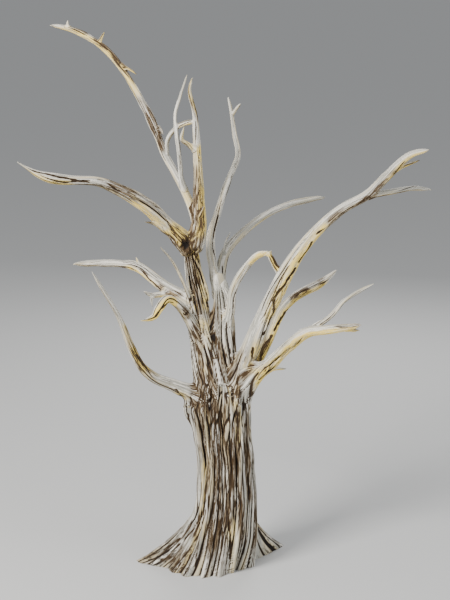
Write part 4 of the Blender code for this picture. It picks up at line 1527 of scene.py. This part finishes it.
def limb_skin(name, index, shape):
    """A limb's smooth skin, lumpy, slim at the foot and worn to a slanted point at the tip."""
    course, seed = COURSES[name][index], limb_seed(name, index)
    sides = limb_sides(course)
    girth = 2 * math.pi * course.mean_radius
    face_length = LEADER_FACE_LENGTH if name in LEADERS else FACE_LENGTH
    face = max(FACE_WIDTH * face_length, face_length * WIDE_FACE * girth / sides)
    rings = int(RINGS_SHARE * course.length / face)
    lumps, jags = Noise(seed + LIMB_SEEDS["lumps"]), Noise(seed + LIMB_SEEDS["tip"])
    tip = tip_length(name, course)
    slant = np.random.default_rng(seed).random() * 2 * math.pi

    def place(around, share):
        turn = 2 * math.pi * around
        reach = share**LIMB_CROWDING * course.length
        radius = course.read(course.radius, reach)
        round_spot = np.stack((np.cos(turn), np.sin(turn), reach / (4 * course.mean_radius)), 1)
        worn = 0.5 - 0.5 * np.cos(turn - slant) + 0.8 * (jags(round_spot * (2.2, 2.2, 0.3)) - 0.5)
        left = (course.length - reach) / tip - 0.5 * worn
        radius = radius * np.sqrt(np.clip(1 - (1 - np.clip(left, 0.004, 1)) ** 2, 0, 1))
        filled = FOOT_SLIM + (1 - FOOT_SLIM) * eased(reach, 0, rooted_length(course))
        radius = np.where(share > 0.9999, 0, radius) * filled
        radius = radius * (1 + shape.lumpiness * 2 * (lumps(round_spot + 5) - 0.5))
        return (
            course.read(course.centre, reach)
            + course.read(course.side, reach) * (radius * np.cos(turn))[:, None]
            + course.read(course.across, reach) * (radius * np.sin(turn))[:, None]
        )

    return rolled_sheet(f"{name}_{index}", sides, rings, place)


def limb_on_carriers(mesh, name, index, reach, radius):
    """The limb's points and normals, swollen over what carries it, and how much of its foot shows."""
    course = COURSES[name][index]
    # A spur's own limb counts once for each spur so far, which makes the webs of later spurs fuller.
    others = [*itertools.takewhile(name.__ne__, LIMBS), *[name] * index]
    carriers = [(TRUNK_BOX, trunk_distance)]
    carriers += [(COURSES[other][0].box(CARRIER_MARGIN), COURSES[other][0].distance) for other in others]
    inside = np.min([distance(course.centre)[0] for _, distance in carriers], axis=0) < 0
    way_out = rooted_length(course) if inside.all() else course.reach[inside.argmin()]
    shown = eased(reach / max(way_out, COURSE_STEP), *FOOT_SHOWN)
    points, normals = read_points(mesh), read_normals(mesh)
    points, normals = moved_skin(mesh, swollen(points, normals, radius, carriers, WEB_MOST, shown, DIP))
    points = swollen(points, normals, radius, sinew_neighbours(), SINEW_WEB_MOST, shown)
    return *moved_skin(mesh, points), shown


def limb_mesh(name, index, shape):
    """One limb or spur as a carved skin that takes on its carrier's seams and tints at the foot."""
    course, seed = COURSES[name][index], limb_seed(name, index)
    mesh = limb_skin(name, index, shape)
    around, share = read_mark(mesh, "around"), read_mark(mesh, "share") ** LIMB_CROWDING
    reach = share * course.length
    radius = course.read(course.radius, reach)
    points, normals, shown = limb_on_carriers(mesh, name, index, reach, radius)
    crest, crease = sinew_marks(points)

    grain, deep, fine = limb_pattern(name, index, around, reach, shape)
    tint_share = share
    if index:
        limb = COURSES[name][0]
        tint_share = np.full(len(share), limb.place_of(course.centre[:1])[1][0] / limb.length)
    warm, brown, patchy = limb_tints(name, tint_share, grain, normals, seed)

    # What carries the limb gives the foot its own seams and tints.
    host = host_of(name, index)
    if host:
        carrier = COURSES[host][0]
        host_gap, host_radius = carrier.distance(points)
        on_host = 1 - eased(host_gap / course.radius[0], *ON_HOST)
        host_around, host_reach = carrier.place_of(points)
        host_grain, host_deep, host_fine = limb_pattern(host, 0, host_around, host_reach, shape)
        host_share, host_seed = host_reach / carrier.length, limb_seed(host, 0)
        host_warm, host_brown = limb_tints(host, host_share, host_grain, normals, host_seed)[:2]
        radius = blended(radius, host_radius, on_host)
        deep = blended(deep, host_deep, on_host)
        fine = blended(fine, host_fine, on_host)
        warm = blended(warm, host_warm, on_host)
        brown = blended(brown, host_brown, on_host)
    footed = 1 - eased(trunk_distance(points)[0], *(LEADER_FOOTED if name in LEADERS else LIMB_FOOTED))
    trunk_grain, trunk_deep, trunk_fine, flakes = trunk_pattern(points, shape)
    deep = blended(deep, trunk_deep, footed)
    fine = blended(fine, trunk_fine, footed)
    brown = np.maximum.reduce((brown, rot_marks(points), footed * trunk_brown(points, trunk_grain)))
    flakes = footed * flakes * np.clip(brown, 0, 1)

    depth = np.minimum(shape.limb_depth * (1 + footed) * radius, shape.rib_depth)
    depth = blended(depth, shape.rib_depth, footed)
    split_name = None if index else name
    opened, cut = split_marks(split_name, course, points, reach, share, seed)
    rise = footed * trunk_swell(trunk_grain) + carving(depth, deep, fine, flakes, crest, crease) - cut
    points = points + normals * np.minimum(rise, rise * shown)[:, None]
    points, dark, lip = sunk_hollows(points, normals)

    warm = warm + LIP_WARM * lip
    fine_dark = LIMB_FINE_DARK * eased(fine, *LIMB_FINE_DARKENS)
    fissure_and_shade = darkened(eased(deep, *LIMB_DEEP_DARKENS), fine_dark, flakes, crest, dark, crease)
    # Painted shade in the splits: dark along their edges and inside, brown at their mouths.
    edges = SPLIT_EDGE_SHADE * bell((opened - SPLIT_EDGE) / SPLIT_EDGE_WIDTH) * (0.4 + 0.6 * patchy)
    inside = eased(opened, SPLIT_EDGE, 0.80) * (0.12 + 0.50 * patchy - 0.2 * np.clip(warm, 0, 1))
    fissure_and_shade = np.maximum.reduce((fissure_and_shade, edges, inside))
    brown = np.maximum(brown, (0.2 + 0.4 * patchy) * eased(opened, 0.15, SPLIT_EDGE))
    finish_skin(mesh, points, grain, fissure_and_shade, warm, brown, crest)
    return mesh


def add_piece(name, meshes, material, node):
    """Joins the meshes into one piece that stands for the node."""
    objects = [bpy.data.objects.new(name, mesh) for mesh in meshes]
    for obj in objects:
        bpy.context.scene.collection.objects.link(obj)
        obj.data.materials.append(material)
    piece = objects[0]
    if len(objects) > 1:
        with bpy.context.temp_override(active_object=piece, selected_editable_objects=objects):
            bpy.ops.object.join()
    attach(piece, "root")
    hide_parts(node)
    return piece


class Signal:
    """A node's output that takes part in Python expressions: each operation adds its Math node."""

    def __init__(self, graph, socket):
        self.graph = graph
        self.socket = socket

    def maths(self, operation, *values, clamp=False):
        """This Math operation on the values."""
        settings = {"operation": operation, "use_clamp": clamp}
        return self.graph.node("ShaderNodeMath", settings, dict(enumerate(values)))

    def __add__(self, other):
        return self.maths("ADD", self, other)

    __radd__ = __add__

    def __sub__(self, other):
        return self.maths("SUBTRACT", self, other)

    def __rsub__(self, other):
        return self.maths("SUBTRACT", other, self)

    def __mul__(self, other):
        return self.maths("MULTIPLY", self, other)

    __rmul__ = __mul__

    def __abs__(self):
        return self.maths("ABSOLUTE", self)

    def held(self):
        """The value kept between 0 and 1."""
        return self.maths("ADD", self, 0.0, clamp=True)

    def between(self, low, high):
        """0 below low, 1 above high, and smooth in between."""
        settings = {"interpolation_type": "SMOOTHSTEP"}
        values = {"Value": self, "From Min": low, "From Max": high, "To Min": 0.0, "To Max": 1.0}
        return self.graph.node("ShaderNodeMapRange", settings, values)


class Graph:
    """A material's nodes."""

    def __init__(self, name):
        self.material = bpy.data.materials.new(name)
        self.material.use_nodes = True
        self.nodes = self.material.node_tree.nodes
        self.links = self.material.node_tree.links
        self.shader = self.nodes["Principled BSDF"]

    def node(self, kind, settings=None, values=None, output=0):
        """Adds a node: its settings come first, then the values or links of its sockets."""
        made = self.nodes.new(kind)
        for key, value in (settings or {}).items():
            setattr(made, key, value)
        for key, value in (values or {}).items():
            self.feed(made.inputs[key], value)
        return Signal(self, made.outputs[output])

    def feed(self, socket, value):
        """Links a signal to the socket, or sets the socket's own value."""
        if isinstance(value, Signal):
            self.links.new(value.socket, socket)
        else:
            socket.default_value = value

    def mix(self, factor, first, second):
        """The second colour over the first, by the factor."""
        colours = [value if isinstance(value, Signal) else (*value, 1.0) for value in (first, second)]
        values = {0: factor, 6: colours[0], 7: colours[1]}
        return self.node("ShaderNodeMix", {"data_type": "RGBA"}, values, output=2)

    def mark(self, name, output="Fac"):
        """What the mesh stores under this name."""
        return self.node("ShaderNodeAttribute", {"attribute_name": name}, output=output)

    def grain_noise(self, fineness, across, along, shift):
        """Noise stretched along the grain: cells a metre across the grain, at a fineness, and along it."""
        scale = (across * fineness, across * fineness, along)
        values = {"Vector": self.mark("grain", "Vector"), "Scale": scale, "Location": (shift, 0, 0)}
        place = self.node("ShaderNodeMapping", {}, values)
        return self.node("ShaderNodeTexNoise", {}, {"Vector": place, "Scale": 1.0, "Detail": 3.0})


# The noises that the wood's colours are mixed by: cells a metre across and along the grain, and a shift
# that sets each apart. Then how much finer they are across the grain in each slot.
STREAK_NOISE = (26.0, 1.3, 0.0)
THREAD_NOISE = (85.0, 3.5, 3.1)
STAIN_NOISE = (9.0, 0.9, 1.3)
FLECK_NOISE = (40.0, 6.0, 5.9)
FINENESS = {"trunk_wood": 1.0, "bough_wood": 1.6}


def wood_material(name, colours, fineness):
    """Weathered wood: bleached crests, silver and cream streaks, amber tints, black fissures, and painted
    shade in amber, brown and black.
    """
    graph = Graph(name)
    streaks = graph.grain_noise(fineness, *STREAK_NOISE)
    threads = graph.grain_noise(fineness, *THREAD_NOISE)
    stains = graph.grain_noise(fineness, *STAIN_NOISE)
    flecks = graph.grain_noise(fineness, *FLECK_NOISE)
    fissure_and_shade = graph.mark("fissure_and_shade")
    warm = graph.mark("warm")
    brown = graph.mark("brown")

    wood = graph.mix(streaks.between(0.42, 0.60), tuple(colours.silver), tuple(colours.bleached))
    wood = graph.mix(stains.between(0.50, 0.66) * 0.7, wood, tuple(colours.cream))
    # The warm mark holds the wood's amber tint and the amber painted shade on the under sides.
    amber = (warm * (0.35 + flecks.between(0.35, 0.60))).held()
    wood = graph.mix(amber, wood, tuple(colours.amber))
    # The brown mark holds rot and streaks, and also brown painted shade on the under sides and at the
    # splits.
    wash = (brown * (0.25 + 1.2 * streaks.between(0.60, 0.42)) * (1.0 - 0.6 * amber)).held()
    wood = graph.mix(wash * 0.9, wood, tuple(colours.brown_wash))
    lined = graph.mark("lined")
    lines = 1.0 - abs(threads - 0.5).between(0.0, 0.030 + 0.020 * lined)
    # Dark lines in the brown: rot, and painted shade on the under sides.
    rot_and_shade = (brown * 2.3 * (threads * 0.55 + flecks * 0.45).between(0.53, 0.42)).held()
    drawn = lines * (stains.between(0.60, 0.42) + lined).held()
    # The mark read here as fissure darkness also holds the painted shade of the cavities, creases, hollows
    # and splits.
    dark = (fissure_and_shade.between(0.06, 0.42) + rot_and_shade + drawn * 0.75).held()
    wood = graph.mix(dark, wood, tuple(colours.bark_brown))
    black = (fissure_and_shade.between(0.40, 0.85) + drawn * lined).held()
    wood = graph.mix(black, wood, tuple(colours.fissure_black))

    height = streaks * 0.5 + threads * 0.5 - dark * 0.5
    bump = graph.node("ShaderNodeBump", {}, {"Strength": 0.5, "Distance": 0.012, "Height": height})
    graph.feed(graph.shader.inputs["Base Color"], wood)
    graph.feed(graph.shader.inputs["Roughness"], 0.70 + 0.2 * streaks)
    graph.feed(graph.shader.inputs["Normal"], bump)
    graph.shader.inputs["Specular IOR Level"].default_value = 0.25
    return graph.material


def slot_material(slot, colours):
    """The wood of this slot, made the first time that it is asked for."""
    name = f"weathered_{slot}"
    return bpy.data.materials.get(name) or wood_material(name, colours, FINENESS[slot])


def dress_limbs(context, names, slot):
    """Makes each of these limbs with its spurs, as one piece in this slot."""
    scene = context.scene
    material = slot_material(slot, scene.dead_tree_colours)
    for name in names:
        meshes = [limb_mesh(name, index, scene.dead_tree_shape) for index in range(len(COURSES[name]))]
        add_piece(f"{name}_wood", meshes, material, name)


class DEADTREE_OT_trunk(bpy.types.Operator):
    """Makes the trunk's ribbed skin, from the flat cut at the ground to the fork"""

    bl_idname = "deadtree.trunk"
    bl_label = "Trunk"

    def execute(self, context):
        scene = context.scene
        material = slot_material("trunk_wood", scene.dead_tree_colours)
        add_piece("trunk_wood", [trunk_mesh(scene.dead_tree_shape)], material, "trunk")
        return {"FINISHED"}


class DEADTREE_OT_leaders(bpy.types.Operator):
    """Makes the left leader and the centre stem that the trunk forks into"""

    bl_idname = "deadtree.leaders"
    bl_label = "Leaders"

    def execute(self, context):
        dress_limbs(context, LEADERS, "trunk_wood")
        return {"FINISHED"}


class DEADTREE_OT_left_boughs(bpy.types.Operator):
    """Makes the boughs that reach to the left"""

    bl_idname = "deadtree.left_boughs"
    bl_label = "Left boughs"

    def execute(self, context):
        dress_limbs(context, LEFT_BOUGHS, "bough_wood")
        return {"FINISHED"}


class DEADTREE_OT_right_boughs(bpy.types.Operator):
    """Makes the boughs that reach to the right and to the back"""

    bl_idname = "deadtree.right_boughs"
    bl_label = "Right boughs"

    def execute(self, context):
        dress_limbs(context, RIGHT_BOUGHS, "bough_wood")
        return {"FINISHED"}


class DEADTREE_OT_small_limbs(bpy.types.Operator):
    """Makes the stubs, spikes and twigs, and the limb that arches over"""

    bl_idname = "deadtree.small_limbs"
    bl_label = "Small limbs"

    def execute(self, context):
        dress_limbs(context, SMALL_LIMBS, "bough_wood")
        return {"FINISHED"}


# The view: a long lens a little above the fork's height, looking slightly down.
VIEW_DISTANCE = 26.0
VIEW_ELEVATION = math.radians(12)
VIEW_TARGET = Vector((-0.0167, 0.0, 4.685))
VIEW_LENS = 93.6
SENSOR_WIDTH = 36.0
CLIP_END = 4000.0

# The floor and the light: the floor's side and colour, each lamp's name, place, side, power and colour,
# and the sky's colour and strength.
FLOOR_SIDE = 1600.0
FLOOR_COLOUR = (0.62, 0.62, 0.61, 1.0)
LAMPS = (
    ("key", (-13.0, -15.0, 17.0), 8.0, 8200.0, (1.0, 0.98, 0.95)),
    ("fill", (16.0, -12.0, 9.0), 12.0, 1400.0, (0.93, 0.96, 1.0)),
    ("back", (4.0, 18.0, 15.0), 10.0, 1800.0, (1.0, 1.0, 1.0)),
)
SKY_COLOUR = (0.80, 0.82, 0.85, 1.0)
SKY_STRENGTH = 0.55


def add_camera():
    """A camera that looks at the tree from the front."""
    data = bpy.data.cameras.new("camera")
    data.lens = VIEW_LENS
    data.sensor_width = SENSOR_WIDTH
    data.clip_end = CLIP_END
    camera = bpy.data.objects.new("camera", data)
    bpy.context.scene.collection.objects.link(camera)
    back = Vector((0, -math.cos(VIEW_ELEVATION), math.sin(VIEW_ELEVATION)))
    camera.location = VIEW_TARGET + back * VIEW_DISTANCE
    camera.rotation_mode = "QUATERNION"
    camera.rotation_quaternion = (-back).to_track_quat("-Z", "Y")
    bpy.context.scene.camera = camera


def add_floor():
    """A plain pale floor that reaches the horizon."""
    bm = bmesh.new()
    bmesh.ops.create_grid(bm, x_segments=1, y_segments=1, size=FLOOR_SIDE / 2)
    mesh = bpy.data.meshes.new("floor")
    bm.to_mesh(mesh)
    bm.free()
    floor = bpy.data.objects.new("floor", mesh)
    bpy.context.scene.collection.objects.link(floor)
    graph = Graph("pale_floor")
    graph.shader.inputs["Base Color"].default_value = FLOOR_COLOUR
    graph.shader.inputs["Roughness"].default_value = 0.95
    graph.shader.inputs["Specular IOR Level"].default_value = 0.0
    mesh.materials.append(graph.material)


def add_light(name, place, size, power, colour):
    """A soft square lamp that faces the tree."""
    data = bpy.data.lights.new(name, "AREA")
    data.size = size
    data.energy = power
    data.color = colour
    light = bpy.data.objects.new(name, data)
    light.location = place
    light.rotation_mode = "QUATERNION"
    light.rotation_quaternion = (VIEW_TARGET - Vector(place)).to_track_quat("-Z", "Y")
    bpy.context.scene.collection.objects.link(light)


class DEADTREE_OT_stage(bpy.types.Operator):
    """Makes the pale floor, the soft studio light and the camera"""

    bl_idname = "deadtree.stage"
    bl_label = "Stage"

    def execute(self, context):
        add_floor()
        for lamp in LAMPS:
            add_light(*lamp)
        world = bpy.data.worlds.new("studio")
        world.use_nodes = True
        background = world.node_tree.nodes["Background"]
        background.inputs["Color"].default_value = SKY_COLOUR
        background.inputs["Strength"].default_value = SKY_STRENGTH
        context.scene.world = world
        add_camera()
        return {"FINISHED"}


class DEADTREE_PT_panel(bpy.types.Panel):
    """Lists the steps that make the tree"""

    bl_idname = "DEADTREE_PT_panel"
    bl_label = "Dead tree"
    bl_space_type = "VIEW_3D"
    bl_region_type = "UI"
    bl_category = "Dead tree"

    def draw(self, context):
        column = self.layout.column()
        for group in (context.scene.dead_tree_shape, context.scene.dead_tree_colours):
            for key in group.__annotations__:
                column.prop(group, key)
        for operator in OPERATORS:
            column.operator(operator.bl_idname)


OPERATORS = (
    DEADTREE_OT_trunk,
    DEADTREE_OT_leaders,
    DEADTREE_OT_left_boughs,
    DEADTREE_OT_right_boughs,
    DEADTREE_OT_small_limbs,
    DEADTREE_OT_stage,
)
CLASSES = (DeadTreeShape, DeadTreeColours, *OPERATORS, DEADTREE_PT_panel)


def register():
    for cls in CLASSES:
        bpy.utils.register_class(cls)
    bpy.types.Scene.dead_tree_shape = bpy.props.PointerProperty(type=DeadTreeShape)
    bpy.types.Scene.dead_tree_colours = bpy.props.PointerProperty(type=DeadTreeColours)


def unregister():
    del bpy.types.Scene.dead_tree_shape
    del bpy.types.Scene.dead_tree_colours
    for cls in reversed(CLASSES):
        bpy.utils.unregister_class(cls)


def main():
    register()
    bpy.ops.deadtree.trunk()
    bpy.ops.deadtree.leaders()
    bpy.ops.deadtree.left_boughs()
    bpy.ops.deadtree.right_boughs()
    bpy.ops.deadtree.small_limbs()
    bpy.ops.deadtree.stage()


if __name__ == "__main__":
    main()
